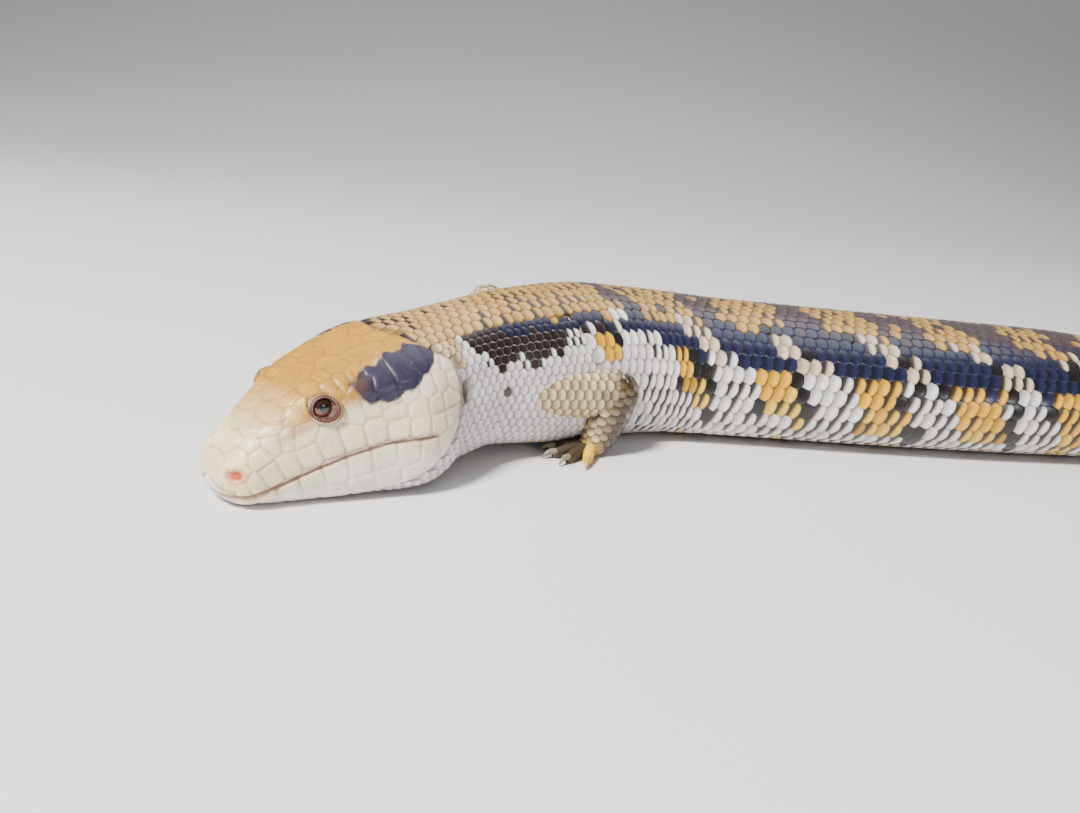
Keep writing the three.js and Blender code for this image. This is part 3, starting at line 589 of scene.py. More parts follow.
# Lower edge of the tan crown, and the edges of the dark temple patch, as girth heights
CROWN_EDGE = [[0, 1.0], [5, 0.88], [8, 0.78], [12, 0.675], [16, 0.66], [20, 0.665], [23, 0.67], [25.5, 0.72],
              [28, 0.79], [40, 0.8]]
TEMPLE_LOW = [[21.5, 0.76], [23, 0.69], [24.2, 0.65], [29, 0.645], [32.5, 0.67], [36, 0.705], [39.5, 0.76],
              [40.5, 0.8]]
TEMPLE_HIGH = [[21.5, 0.76], [23.5, 0.785], [26, 0.8], [31, 0.83], [36, 0.838], [39, 0.82], [40.5, 0.8]]
MOUTH_LINE = [[0, 0.3], [4.8, 0.33], [9.5, 0.39], [15.5, 0.445], [23, 0.497], [30, 0.505], [37, 0.5]]
MOUTH_LEAN, MOUTH_CUT_DEPTH, MOUTH_CUT_REACH, LIP_REACH = 0.85, 0.75, 0.3, 0.7
# Soft spots before the eye, behind it and over it: (along, girth height, reach, spread)
BEFORE_EYE = (12.5, 0.67, 3.4, 0.03)
BEHIND_EYE = (23, 0.745, 1.8, 0.05)
RIDGE, RIDGE_RISE = (17.5, 0.815, 4.5, 0.035), 0.45
NOSTRIL = dict(at=2.1, up=6.9, half_length=1.6, half_height=1.2, depth=0.7, colour=NARES)
# The ear's colour is painted shadow in its opening
EAR = dict(at=45.8, up=18.8, half_length=0.8, half_height=2.2, depth=1.6, colour=MAROON * 0.6)
LID_FADE, SOCKET_DEPTH = 0.5, 0.9


def eye_axes(side):
    """The eye's centre, and its forward, upward and looking directions."""
    centre = place(EYE_ALONG, side * EYE_OUT, EYE_UP)
    rearward = unit(place(EYE_ALONG + NUDGE, 0, 0) - place(EYE_ALONG, 0, 0))
    outward = unit(place(EYE_ALONG, side, 0) - place(EYE_ALONG, 0, 0))
    looks = unit(EYE_LOOKS[0] * rearward + EYE_LOOKS[1] * outward + np.array([0, 0, EYE_LOOKS[2]]))
    forward = unit(-rearward + looks * (rearward @ looks))
    upward = np.cross(forward, looks) * side
    return centre, forward, upward * np.sign(upward[2]), looks


def shield_seams(along, g, points):
    """Distance from the nearest seam between shields, and the shield's number, at places on the head."""
    flat = points.reshape(-1, 3)
    gaps = np.full((len(SHIELDS), len(flat)), FAR)
    for i, seeds in enumerate(SHIELDS):
        for at, height in seeds:
            for share in (height / 2, 1 - height / 2):
                seed = BODY.at(np.array([float(at)]), np.array([share]))[0][0]
                gaps[i] = np.minimum(gaps[i], np.linalg.norm(flat - seed, axis=1))
    order = np.argsort(gaps, axis=0)[:2]
    nearest, second = np.take_along_axis(gaps, order, 0)
    seam, owner = (second - nearest).reshape(g.shape), order[0].reshape(g.shape)
    spans = np.array([i < len(SNOUT_SHIELDS) or any(height in MIDLINE_HEIGHTS for _, height in seeds)
                      for i, seeds in enumerate(SHIELDS)])
    to_midline = (1 - g) * BODY.girth(along)
    return np.where(spans[owner], seam, np.minimum(seam, to_midline)), owner


def head_colour(along, g, groove, owner):
    """Colour and gloss of the head: pale snout and lips, tan crown, dark temple, faint seams."""
    tone = rng.uniform(0.95, 1.04, len(SHIELDS))[owner][..., None]
    tint = mix(LIP, SNOUT, smooth_step(9, 3, along)) * tone
    edge = read(CROWN_EDGE, along)
    crown = smooth_step(edge - 0.03, edge + 0.05, g) * smooth_step(1.5, 12, along)
    tint = mix(tint, CROWN * tone, crown)
    blush = smooth_step(5, 8, along) * smooth_step(15, 12, along) * smooth_step(0.6, 0.66, g)
    tint = mix(tint, LORE, 0.3 * blush)
    tint = mix(tint, (RUST + BROWN) / 2, 0.6 * soft_spot(along, g, *BEFORE_EYE))
    wave = 0.011 * np.sin(along * 1.3) + 0.004 * np.sin(along * 2.9 + 1)
    low, high = read(TEMPLE_LOW, along) + wave * 0.5, read(TEMPLE_HIGH, along) + wave
    temple = smooth_step(low - 0.004, low + 0.004, g) * smooth_step(high + 0.005, high - 0.005, g)
    # The dark temple patch, tinted blue by painted sky reflection
    tint = mix(tint, SKY_SHEEN_DARK * 0.75 + PURPLE * 0.25, temple)
    tint = mix(tint, BROWN * 0.5, 0.7 * soft_spot(along, g, *BEHIND_EYE))
    below = g - read(MOUTH_LINE, along)
    lips = np.exp(-((below / 0.07) ** 2)) * smooth_step(34, 26, along)
    seam_dark = groove * (0.44 + 0.36 * lips) * (1 - 0.5 * temple)
    tint = mix(tint, mix(BROWN, BLACK, temple), seam_dark)
    tint = mix(tint, WHITE * 0.7 + CREAM * 0.3, smooth_step(-0.02, -0.09, below))
    return tint, 0.5 + 0.4 * temple


def pit_spot(pit, side, further=0.0):
    """A nostril's or ear's place on the skin, or one a little further along."""
    at = pit["at"] + further
    return place(at, side * side_at(at, pit["up"]), pit["up"])


def pit_at(pit, side, points):
    """How far points lie inside a nostril or ear, and inside its rim, from 0 to 1."""
    spot = pit_spot(pit, side)
    rearward = unit(pit_spot(pit, side, NUDGE) - spot)
    d = points - spot
    ring = np.hypot(d @ rearward / pit["half_length"], d[..., 2] / pit["half_height"])
    return smooth_step(1.1, 0.55, ring), smooth_step(1.7, 1.0, ring)


def shape_lids(moved, tint, side, this_side):
    """Skin round an eye bulged over the ball, sunk inside the opening and dark round it."""
    centre, forward, upward, looks = eye_axes(side)
    d = moved - centre
    f, u = d @ forward / EYE_HALF_LENGTH, d @ upward / EYE_HALF_HEIGHT
    ring = np.hypot(f, u)
    facing = this_side & (d @ looks > 0) & (ring < 3)
    distance = np.linalg.norm(d, axis=-1)
    below_ridge = smooth_step(3.2, 1.8, u * EYE_HALF_HEIGHT)
    bulged = smooth_step(LID_BALL + LID_FADE, LID_BALL - LID_FADE, distance) * facing * below_ridge
    moved = mix(moved, centre + unit(d) * LID_BALL, bulged)
    opened = smooth_step(1.06, 0.94, ring) * facing
    moved = mix(moved, centre + unit(d) * (EYE_BALL - SOCKET_DEPTH), opened)
    high = smooth_step(0, 1, u)
    dark = smooth_step(1.6 - 0.3 * high, 1.25 - 0.15 * high, ring) * facing
    dark = dark * (1 - 0.9 * smooth_step(0.8, 1.6, u))
    return moved, mix(tint, MAROON * 0.5 + RUST * 0.12, dark)


def head_form(along, share, points, normals):
    """Points of the head moved to their depth, with their colour and gloss."""
    g = girth_height(share)
    seam, owner = shield_seams(along, g, points)
    groove = np.exp(-((seam / GROOVE_REACH) ** 2))
    depth = SHIELD_DEPTH + SEAM_SLOPE * np.exp(-((seam / SLOPE_REACH) ** 2)) + SEAM_DEPTH * groove
    scaled = smooth_step(-0.6, 0.6, along - shield_end_at(g))
    depth = depth * (1 - scaled) + COAT * scaled
    tint, gloss = head_colour(along, g, groove, owner)
    # Skin where the body's scales begin is darkened by half, as painted shade under them
    tint = tint * (1 - 0.5 * scaled[..., None])

    # Line of the mouth, with lips along it and its cut darkened as painted shade
    gap = np.abs(points[..., 2] - mouth_at(along)) * MOUTH_LEAN
    inside = smooth_step(MOUTH_CORNER + 0.8, MOUTH_CORNER - 0.8, along) * smooth_step(0.6, 0.56, g)
    cut = np.exp(-((gap / MOUTH_CUT_REACH) ** 2)) * inside
    depth = depth + MOUTH_CUT_DEPTH * cut
    tint = mix(tint, PINK, 0.5 * np.exp(-((gap / LIP_REACH) ** 2)) * inside)
    # The cut is darkened as painted shade in the crease
    tint = mix(tint, MAROON * 1.6, 0.75 * cut**2)

    moved = points - normals * depth[..., None]
    left = share % 1 < 0.5
    for side, this_side in ((1, left), (-1, ~left)):
        rise = RIDGE_RISE * soft_spot(along, g, *RIDGE) * this_side
        moved = moved + normals * rise[..., None]
        for pit in (NOSTRIL, EAR):
            hollow, rimmed = pit_at(pit, side, points)
            moved = moved - normals * (pit["depth"] * hollow * this_side)[..., None]
            # A pit's colour fills its hollow and part of its rim: for the ear this is painted shadow
            tint = mix(tint, pit["colour"], np.maximum(hollow, 0.55 * rimmed) * this_side)
        moved, tint = shape_lids(moved, tint, side, this_side)
    moved[..., 2] = np.maximum(moved[..., 2], 0.45 * scaled + 0.02)
    return moved, tint, gloss


# Limbs
FLOOR_GAP = 0.02


def rings_round(centres, across, rise, columns):
    """Rings of points round centres, none of them under the floor."""
    turns = np.linspace(0, 2 * math.pi, columns + 1)[:, None]
    table = centres[:, None] + across[:, None] * np.cos(turns) + rise[:, None] * np.sin(turns)
    table[..., 2] = np.maximum(table[..., 2], FLOOR_GAP)
    return table


def limb_sheet(points, radii, columns=64, step=0.25):
    """A tapered round-ended limb between two points."""
    start, end = points
    axis = unit(end - start)
    length = np.linalg.norm(end - start)
    radius_at = curve_through([[i / (len(radii) - 1), r] for i, r in enumerate(radii)])
    along = np.arange(-radii[0] + 0.05, length + radii[-1] - 0.05, step)
    inner = np.clip(along, 0, length)
    radius = radius_at(inner / length)
    over = np.clip(np.abs(along - inner) / radius, 0, 1)
    radius = (radius * np.sqrt(1 - over**2))[:, None]
    reference = np.array([0.0, 1, 0]) if abs(axis[2]) > 0.8 else np.array([0.0, 0, 1])
    across = unit(np.cross(reference, axis))
    rise = np.cross(axis, across)
    table = rings_round(start + axis * along[:, None], radius * across, radius * rise, columns)
    sheet = Sheet(along, table)
    # Round ends make poor normals by differences, so they come from the shape itself
    centres = (start + axis * inner[:, None])[:, None, :]
    sheet.normals = unit(table - centres)
    return sheet


def joint_place(leg, joint):
    along, out, up = leg[joint]
    return place(along, leg["side"] * out, up)


def foot_direction(leg, turn):
    """Level direction of the foot, turned towards the body by an angle in degrees."""
    along = leg["ankle"][0]
    ahead = unit(place(along, 0, 0) - place(along + NUDGE, 0, 0))
    angle = -math.radians(leg["side"] * (leg["turn"] + turn))
    c, s = math.cos(angle), math.sin(angle)
    return np.array([ahead[0] * c - ahead[1] * s, ahead[0] * s + ahead[1] * c, 0.0])


def toe_path(leg, turn, length):
    heel = joint_place(leg, "ankle") * [1, 1, 0]
    knuckles = heel + foot_direction(leg, turn * KNUCKLES_SPREAD) * PALM_LENGTH * KNUCKLES_AHEAD
    direction = foot_direction(leg, turn)
    return [knuckles + direction * length * t + [0, 0, up] for t, up in zip((0, TOE_BEND, 1), TOE_UP)]


CAP_RINGS, CAP_TURN = 5, math.pi / 2 * 0.98
TUBE_SIDES = 16
PALM_SIDES = 48


def bent_sheet(path, radii, columns=TUBE_SIDES, rings=30, ridges=0):
    """A tapered tube along three points with round ends and, for a toe, ridged rings."""
    t = np.linspace(0, 1, rings)[:, None]
    a, b, c = (np.array(p) for p in path)
    middle = 2 * b - (a + c) / 2
    centre = (1 - t) ** 2 * a + 2 * t * (1 - t) * middle + t**2 * c
    tangent = unit(np.gradient(centre, axis=0))
    radius = curve_through([[i / (len(radii) - 1), r] for i, r in enumerate(radii)])(t[:, 0])
    if ridges:
        phase = (t[:, 0] * ridges) % 1
        radius = radius * (0.93 + 0.09 * phase - 0.08 * smooth_step(0.86, 1, phase))
    caps = np.arange(1, CAP_RINGS + 1) / CAP_RINGS * CAP_TURN
    start = centre[0] - tangent[0] * radius[0] * np.sin(caps[::-1])[:, None]
    end = centre[-1] + tangent[-1] * radius[-1] * np.sin(caps)[:, None]
    radius = np.concatenate([radius[0] * np.cos(caps[::-1]), radius, radius[-1] * np.cos(caps)])
    centre = np.concatenate([start, centre, end])
    tangent = np.concatenate([tangent[:1].repeat(CAP_RINGS, 0), tangent, tangent[-1:].repeat(CAP_RINGS, 0)])
    across = unit(np.cross([0.0, 0, 1], tangent))
    rise = np.cross(tangent, across)
    table = rings_round(centre, radius[:, None] * across, radius[:, None] * rise, columns)
    return Sheet(np.arange(len(centre), dtype=float), table)


def palm_sheet(leg, columns=PALM_SIDES, rings=28):
    heel = joint_place(leg, "ankle") * [1, 1, 0] + [0, 0, PALM_UP]
    ahead = foot_direction(leg, 0)
    centre = heel + ahead * PALM_LENGTH * PALM_AHEAD
    across = np.array([-ahead[1], ahead[0], 0])
    polar = np.linspace(0.03, math.pi - 0.03, rings)[:, None]
    table = rings_round(centre - np.cos(polar) * ahead * PALM_LENGTH / 2,
                        np.sin(polar) * across * PALM_HALF_WIDTH,
                        np.sin(polar) * [0, 0, PALM_HALF_HEIGHT], columns)
    return Sheet(np.arange(rings) * (PALM_LENGTH / (rings - 1)), table)


# Materials
def hide_material(name, roughness, coat, grain):
    """Skin or scale: the markings, worn by fine and broad variation, glossy where dark."""
    material = bpy.data.materials.new(name)
    material.use_nodes = True
    nodes, links = material.node_tree.nodes, material.node_tree.links

    def fill(node, inputs):
        for key, value in inputs.items():
            if isinstance(value, bpy.types.NodeSocket):
                links.new(value, node.inputs[key])
            else:
                node.inputs[key].default_value = value
        return node

    def add(kind, output, inputs, **settings):
        node = nodes.new("ShaderNode" + kind)
        for key, value in settings.items():
            setattr(node, key, value)
        return fill(node, inputs).outputs[output]

    def spread(source, low, high, least=0.3, most=0.7):
        limits = {"From Min": least, "From Max": most, "To Min": low, "To Max": high}
        return add("MapRange", "Result", {"Value": source, **limits})

    def multiply(first, second):
        return add("Math", 0, {0: first, 1: second}, operation="MULTIPLY")

    spot = add("TexCoord", "Object", {})
    tint = add("Attribute", "Color", {}, attribute_name="tint")
    gloss = add("Attribute", "Fac", {}, attribute_name="gloss")
    fine = add("TexNoise", "Fac", {"Vector": spot, "Scale": grain, "Detail": 5})
    broad = add("TexNoise", "Fac", {"Vector": spot, "Scale": grain * 0.16})
    worn = multiply(spread(fine, 0.86, 1.08), spread(broad, 0.88, 1.08))
    shine = spread(gloss, roughness + 0.12, roughness - 0.12, 0, 1)
    fill(nodes["Principled BSDF"], {
        "Base Color": add("VectorMath", 0, {0: tint, "Scale": worn}, operation="SCALE"),
        "Roughness": multiply(shine, spread(fine, 0.85, 1.15)),
        "Normal": add("Bump", "Normal", {"Strength": 0.25, "Distance": 0.00008, "Height": fine}),
        "Coat Weight": coat,
        "Coat Roughness": 0.18,
        "Subsurface Weight": 0.06,
        "Subsurface Radius": (0.0012, 0.0006, 0.0004),
    })
    return material


SKIN_LOOK = hide_material("skin", 0.5, 0.15, 1500)
SCALE_LOOK = hide_material("scales", 0.4, 0.35, 1300)
EYE_LOOK = hide_material("eye", 0.14, 1.0, 2600)
CLAW_LOOK = hide_material("claw", 0.36, 0.4, 2200)


# Skin of the whole body, with the head's forms, and of the limbs
class Skin:
    """Closed tubes of rings, gathered for one mesh."""

    def __init__(self):
        self.points, self.tints, self.glosses, self.patches = [], [], [], []
        self.quads, self.caps, self.count = [], [], 0

    def add(self, points, tint, gloss, patch):
        """Adds a tube of rings, closed by a point at each end."""
        rings, sides = points.shape[:2]
        poles = np.stack([points[0].mean(0), points[-1].mean(0)])
        self.points.append(np.concatenate([points.reshape(-1, 3), poles]))
        for kept, values in ((self.tints, tint), (self.glosses, gloss), (self.patches, patch)):
            flat = values.reshape(rings * sides, *values.shape[2:])
            kept.append(np.concatenate([flat, values[0, :1], values[-1, :1]]))
        self.quads.append(ring_faces(rings, sides, self.count))
        pole = self.count + rings * sides
        last_ring = pole - sides
        i = np.arange(sides)
        after = (i + 1) % sides
        start = np.stack([np.full(sides, pole), self.count + after, self.count + i], -1)
        end = np.stack([np.full(sides, pole + 1), last_ring + i, last_ring + after], -1)
        self.caps.append(np.concatenate([start, end]))
        self.count = pole + 2

    def make(self, name):
        gathered = (np.concatenate(values) for values in (self.tints, self.glosses, self.patches))
        return make_mesh(name, np.concatenate(self.points), self.quads + self.caps, *gathered, SKIN_LOOK)


SKIN = Skin()
HEAD_LAST, SKIN_SIDES = 49, 260
HEAD_STATIONS = np.concatenate([[0.03, 0.1, 0.2, 0.34, 0.5, 0.7], np.arange(0.92, HEAD_LAST, 0.25)])
REAR_STATIONS = np.concatenate([np.arange(HEAD_LAST, TOTAL_LENGTH - 3, 7), [452.5, 453.8, 454.6]])
# Skin under scales: how much deeper it lies, its least height, its scatter and how much it is darkened as
# painted shade in the gaps between scales
UNDER_COAT, UNDER_LOWEST, UNDER_SCATTER, UNDER_SHADE = 0.03, 0.45, 0.3, 0.45
BODY_PATCH_WIDTH = 0.7


def add_body_skin():
    """The head, and the skin under the scales of the rest of the body."""
    head = ring_grid(HEAD_STATIONS, SKIN_SIDES)
    head_points, head_tint, head_gloss = head_form(*head, *BODY.at(*head))
    along, share = ring_grid(REAR_STATIONS, SKIN_SIDES)
    points, normals = BODY.at(along, share)
    inset = COAT * smooth_step(TOTAL_LENGTH, TOTAL_LENGTH - 3, along) + UNDER_COAT
    points = points - normals * inset[..., None]
    points[..., 2] = np.maximum(points[..., 2], UNDER_LOWEST)
    tint, _, _, gloss = markings(along.ravel(), share.ravel(), UNDER_SCATTER)
    # The markings darkened, as painted shade in the gaps between the scales
    tint = tint.reshape(along.shape + (3,)) * UNDER_SHADE
    patch = np.stack([np.concatenate([head[0], along]) / TOTAL_LENGTH,
                      np.concatenate([head[1], share]) * BODY_PATCH_WIDTH], -1)
    SKIN.add(np.concatenate([head_points, points]), np.concatenate([head_tint, tint]),
             np.concatenate([head_gloss, gloss.reshape(along.shape)]), patch)


HALF_JOINTS = {"upper": ("root", "middle"), "lower": ("middle", "ankle")}
OTHER_HALF = {"upper": "lower", "lower": "upper"}
LEG_SIDES, LEG_PITCH, LEG_ROW, LEG_COAT = 32, 2.1, 2.3, 0.4
LEG_UNDER_COAT, LEG_GAP_SHADE, UNDER_GLOSS = 0.42, 0.3, 0.4
# Scales are left out where the leg is inside the body or its other half
INSIDE_BODY, INSIDE_HALF, LOWEST_SCALE = 0.985, -0.25, 0.3
# Unwrap: where the legs start, the step from leg to leg, and the height of one
LEGS_PATCH, LEG_PATCH_STEP, LEG_PATCH_HEIGHT = 0.71, 0.07, 0.06
PEBBLE_HEIGHT, PEBBLE_WAVE, PEBBLE_ROWS = 0.12, 2.6, 16
TOE_PATCH, TOE_PATCH_STEP = 0.46, 0.08
BRIGHT_TOE, CLAW_RINGS = 4, 20


def leg_colour(leg, half, along_share, rearward):
    """Colour of a leg's scales: pale above, olive and brown at the elbow and below, and darker on the side
    facing rearward as painted shade.
    """
    fore = leg["end"] == "fore"
    pale = CREAM * 0.5 + YELLOW * 0.25 + TAN * 0.12 if fore else TAN
    dark = OLIVE * 0.55 + BROWN * 0.1 if fore else PURPLE
    count = len(along_share)
    # Scales facing rearward, away from the light, are darkened as painted shade
    behind = smooth_step(-0.35, 0.6, rearward)
    olive_and_rear_shade = smooth_step(0.45, 1.0, along_share) * behind if half == "upper" else 0.25 + 0.75 * behind
    colour = mix(pale, dark, np.clip(olive_and_rear_shade + rng.normal(0, 0.13, count), 0, 1))
    fleck = rng.random(count) < (0 if fore else 0.22)
    colour[fleck] = BROWN * 0.5
    # Rims and fronts are darker copies, as painted shade at the seams
    return colour, colour * 0.42, colour * 0.2, np.full(count, 0.75)


def half_ends(leg, half):
    return [joint_place(leg, joint) for joint in HALF_JOINTS[half]]


def half_gap(leg, half, points):
    """Distance of points from the surface of a leg's half, below 0 inside it."""
    start, end = half_ends(leg, half)
    axis, length = unit(end - start), np.linalg.norm(end - start)
    t = np.clip((points - start) @ axis, 0, length)
    radius = np.interp(t / length, [0, 0.5, 1], leg[half])
    return np.linalg.norm(points - (start + axis * t[:, None]), axis=1) - radius


def ring_places(ring, station, rows):
    """Station, girth share and rows of the scales of one ring; rings alternate by half a row."""
    columns = np.arange(ring % 2, rows, 2)
    return np.stack([np.full(len(columns), station), (columns + 0.5) / rows, np.full(len(columns), rows)])


def add_half(leg, half, patch_from):
    """Skin and scales of the upper or lower half of a leg."""
    sheet = limb_sheet(half_ends(leg, half), leg[half])
    reach = max(sheet.along[-1], 1)
    grid, around = ring_grid(sheet.along[::3], LEG_SIDES)
    points, normals = sheet.at(grid, around)
    points = points - normals * LEG_UNDER_COAT
    points[..., 2] = np.maximum(points[..., 2], 0.1)
    along_share = (grid / reach).ravel()
    # The leg's markings darkened, as painted shade in the gaps between its scales
    tint = leg_colour(leg, half, along_share, normals.reshape(-1, 3)[:, 0])[0] * LEG_GAP_SHADE
    across = 0.5 * (half == "lower") + 0.24 * np.clip(along_share, 0, 1)
    patch = np.stack([across, patch_from + LEG_PATCH_HEIGHT * around.ravel()], -1)
    SKIN.add(points, tint.reshape(grid.shape + (3,)), np.full(grid.shape, UNDER_GLOSS),
             patch.reshape(grid.shape + (2,)))

    stations = np.arange(sheet.along[0] + 1.5, sheet.along[-1] - 0.6, LEG_PITCH / 2)
    rows = 2 * int(round(math.pi * max(leg[half]) / LEG_ROW))
    rings = [ring_places(ring, station, rows) for ring, station in enumerate(stations)]
    along, share, _ = np.concatenate(rings, 1)
    centres, normals = sheet.at(along, share)
    keep = body_depth(centres) > INSIDE_BODY
    keep &= half_gap(leg, OTHER_HALF[half], centres) > INSIDE_HALF
    keep &= centres[:, 2] > LOWEST_SCALE
    along, share, normals = along[keep], share[keep], normals[keep]
    paint = leg_colour(leg, half, along / reach, normals[:, 0])
    half_length = np.full(len(along), LEG_PITCH * PLATE_REACH)
    piece = plates(f"{leg['end']}leg_{leg['flank']}_{half}_scales", sheet, along, share, half_length,
                   sheet.girth(along) / rows * PLATE_REACH, paint, coat=LEG_COAT)


def is_near(leg):
    """Whether this is the foreleg nearest to the viewer, which is yellower."""
    return (leg["end"], leg["flank"]) == ("fore", "left")


def add_palm(leg, patch_from):
    palm = palm_sheet(leg)
    along, share = ring_grid(palm.along, PALM_SIDES)
    points, normals = palm.at(along, share)
    near, far = YELLOW * 0.35 + CREAM * 0.1 + OLIVE * 0.5, CREAM * 0.5 + TAN * 0.3 + OLIVE * 0.2
    shift = (np.arange(PALM_SIDES) % 2) * math.pi / 2
    waves = np.sin(along * PEBBLE_WAVE + shift) * np.sin(share * math.pi * PEBBLE_ROWS)
    pebble = PEBBLE_HEIGHT * np.abs(waves)
    points = points - normals * (0.14 - pebble)[..., None]
    points[..., 2] = np.maximum(points[..., 2], 0.03)
    # Pebbles are lighter on their tops and darker between them, as painted light and shade
    tint = (near if is_near(leg) else far) * (0.55 + 3.4 * pebble)[..., None]
    patch = np.stack([0.25 + 0.2 * along / PALM_LENGTH, patch_from + LEG_PATCH_HEIGHT * share], -1)
    SKIN.add(points, tint, np.full(along.shape, UNDER_GLOSS), patch)


def add_toe(leg, number, turn, length, patch_from):
    """Skin of one toe; gives back the points of its claw."""
    path = toe_path(leg, turn, length)
    table = bent_sheet(path, TOE_RADII, ridges=max(3, int(length / RIDGE_PITCH))).points[:, :-1]
    # All toes but the bright one are dark olive, darkened further by painted shadow like that under the neck
    colour = YELLOW if is_near(leg) and number == BRIGHT_TOE else OLIVE * 0.3 + CREAM * 0.02
    tone = (0.8 + 0.25 * rng.random(len(table)))[:, None, None] * np.ones(table.shape[:2] + (1,))
    along, share = ring_grid(np.linspace(0, 1, len(table)), TUBE_SIDES)
    patch = np.stack([TOE_PATCH + TOE_PATCH_STEP * number + 0.06 * along,
                      patch_from + LEG_PATCH_HEIGHT * share], -1)
    SKIN.add(table, colour * tone, np.full(table.shape[:2], 0.45), patch)
    direction = foot_direction(leg, turn)
    base = path[2] * [1, 1, 0] + direction * CLAW_AHEAD
    curve = [base + direction * CLAW_LENGTH * t + [0, 0, up] for t, up in zip((0, CLAW_ARCH, 1), CLAW_UP)]
    return bent_sheet(curve, CLAW_RADII, rings=CLAW_RINGS).points[:, :-1]


def add_claws(leg, claws):
    """The claws of a foot as one piece, darker towards their tips."""
    rings = len(claws[0])
    points = np.concatenate(claws).reshape(-1, 3)
    faces = [ring_faces(rings, TUBE_SIDES, i * rings * TUBE_SIDES) for i in range(len(claws))]
    tip = np.tile(np.repeat(np.linspace(0, 1, rings), TUBE_SIDES), len(claws))
    horn = np.repeat(HORN[None] * 0.5, len(points), 0)
    if is_near(leg):
        horn[BRIGHT_TOE * rings * TUBE_SIDES:] = YELLOW * 0.9
    patch = np.stack([np.arange(len(points)) / len(points), tip], -1)
    name = f"{leg['end']}claw_{leg['flank']}"
    piece = make_mesh(f"{name}s", points, faces, horn * (1 - 0.45 * tip)[:, None], np.full(len(points), 0.6),
                      patch, CLAW_LOOK)
    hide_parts(*(f"{name}_{i + 1}" for i in range(5)))


add_body_skin()
FLESH = ["head", "neck", "torso_front", "torso_middle", "torso_rear", "hips", "tail_base", "tail_middle",
         "tail_rear", "tail_tip"]
for leg_number, leg in enumerate(LEGS):
    patch_from = LEGS_PATCH + LEG_PATCH_STEP * leg_number
    for half in HALF_JOINTS:
        add_half(leg, half, patch_from)
        FLESH.append(f"{leg['end']}leg_{leg['flank']}_{half}")
    add_palm(leg, patch_from)
    FLESH.append(f"{leg['end']}foot_{leg['flank']}")
    add_claws(leg, [add_toe(leg, number, turn, length, patch_from)
                    for number, (turn, length) in enumerate(TOES[leg["end"]])])
skin = SKIN.make("skin")
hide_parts(*FLESH)


# Scales of the body, in rings that alternate by half a row: fine ones to the shoulder, then larger
PITCH = curve_through([[10, 1.9], [30, 2.1], [50, 2.6], [80, 2.9], [110, 3.1], [260, 3.1], [300, 2.9],
                       [380, 2.6], [455, 1.7]])
SMALLEST_ROW, MOST_ROWS, FEWEST_ROWS, ROWS_STEP, NARROWS_FROM = 2.95, 40, 8, 4, 250
NECK_PITCH, NECK_ROWS = 2.0, 60
fine_end_at = curve_through([[0, 84], [0.45, 84], [0.6, 80], [0.78, 78], [0.8, 30], [1, 10]])
SCALES_FROM, FINE_LAST = 12.0, 86
ALONG_JITTER, SHARE_JITTER = 0.05, 0.0007
EAR_CLEARANCE = [1.9, 1.9, 3.2]
FLANK_TURN = 0.42
LENGTHS = [("throat_and_neck_scales", 0, 66), ("front_scales", 66, 124), ("middle_scales", 124, 190),
           ("rear_scales", 190, 256), ("hip_scales", 256, 336), ("tail_scales", 336, 456)]


def body_lattice(station, end, rows, pitch_at):
    """Rings of places from one station to another, fewer round the girth as it narrows."""
    rings = []
    while station < end:
        if station > NARROWS_FROM and rows > FEWEST_ROWS and BODY.girth(station) / rows < SMALLEST_ROW:
            rows -= ROWS_STEP
        rings.append(ring_places(len(rings), station, rows))
        station += pitch_at(station) / 2
    return np.concatenate(rings, 1)


coarse = body_lattice(SCALES_FROM, TOTAL_LENGTH - 3, MOST_ROWS, PITCH)
coarse = coarse[:, coarse[0] > fine_end_at(girth_height(coarse[1]))]
fine = body_lattice(SCALES_FROM, FINE_LAST, NECK_ROWS, lambda station: NECK_PITCH)
fine = fine[:, fine[0] <= fine_end_at(girth_height(fine[1]))]
along, share, rows = np.concatenate([fine, coarse], 1)
pitch = np.concatenate([np.full(fine.shape[1], NECK_PITCH), PITCH(coarse[0])])
along = along + rng.normal(0, ALONG_JITTER, len(along))
share = share + rng.normal(0, SHARE_JITTER, len(along))
keep = along > shield_end_at(girth_height(share)) + 0.9
centres, _ = BODY.at(along, share)
for side in (1, -1):
    keep &= np.linalg.norm((centres - pit_spot(EAR, side)) / EAR_CLEARANCE, axis=1) > 1
along, share, rows, pitch = along[keep], share[keep], rows[keep], pitch[keep]
half_width = BODY.girth(along) / rows * PLATE_REACH
paint = markings(along, share)
# Scales of the flank turn a little down towards the rear
lean = FLANK_TURN * np.exp(-(((girth_height(share) - 0.5) / 0.2) ** 2)) * smooth_step(60, 110, along)
lean = lean * np.where(share % 1 < 0.5, -1, 1)
for name, start, end in LENGTHS:
    part = (along >= start) & (along < end)
    piece = plates(name, BODY, along[part], share[part], (pitch * PLATE_REACH)[part], half_width[part],
                   tuple(p[part] for p in paint), lean=lean[part])


# Eyes: iris and pupil round the looking axis under a clear front, and rows of lid scales round them
EYE_SIDES = 64
CORNEA_RISE, CORNEA_REACH = 0.045, 0.55
IRIS_SHADED, IRIS_LIGHT = linear(50, 24, 16), linear(132, 62, 30)
PUPIL, EYE_EDGE = linear(12, 14, 26), linear(40, 24, 20)
LID_ROWS = [(1.16, 36), (1.4, 38)]
LID_SCALE_HALF, LID_SCALE_REACH, INNER_LID = 0.26, 0.54, 1.25


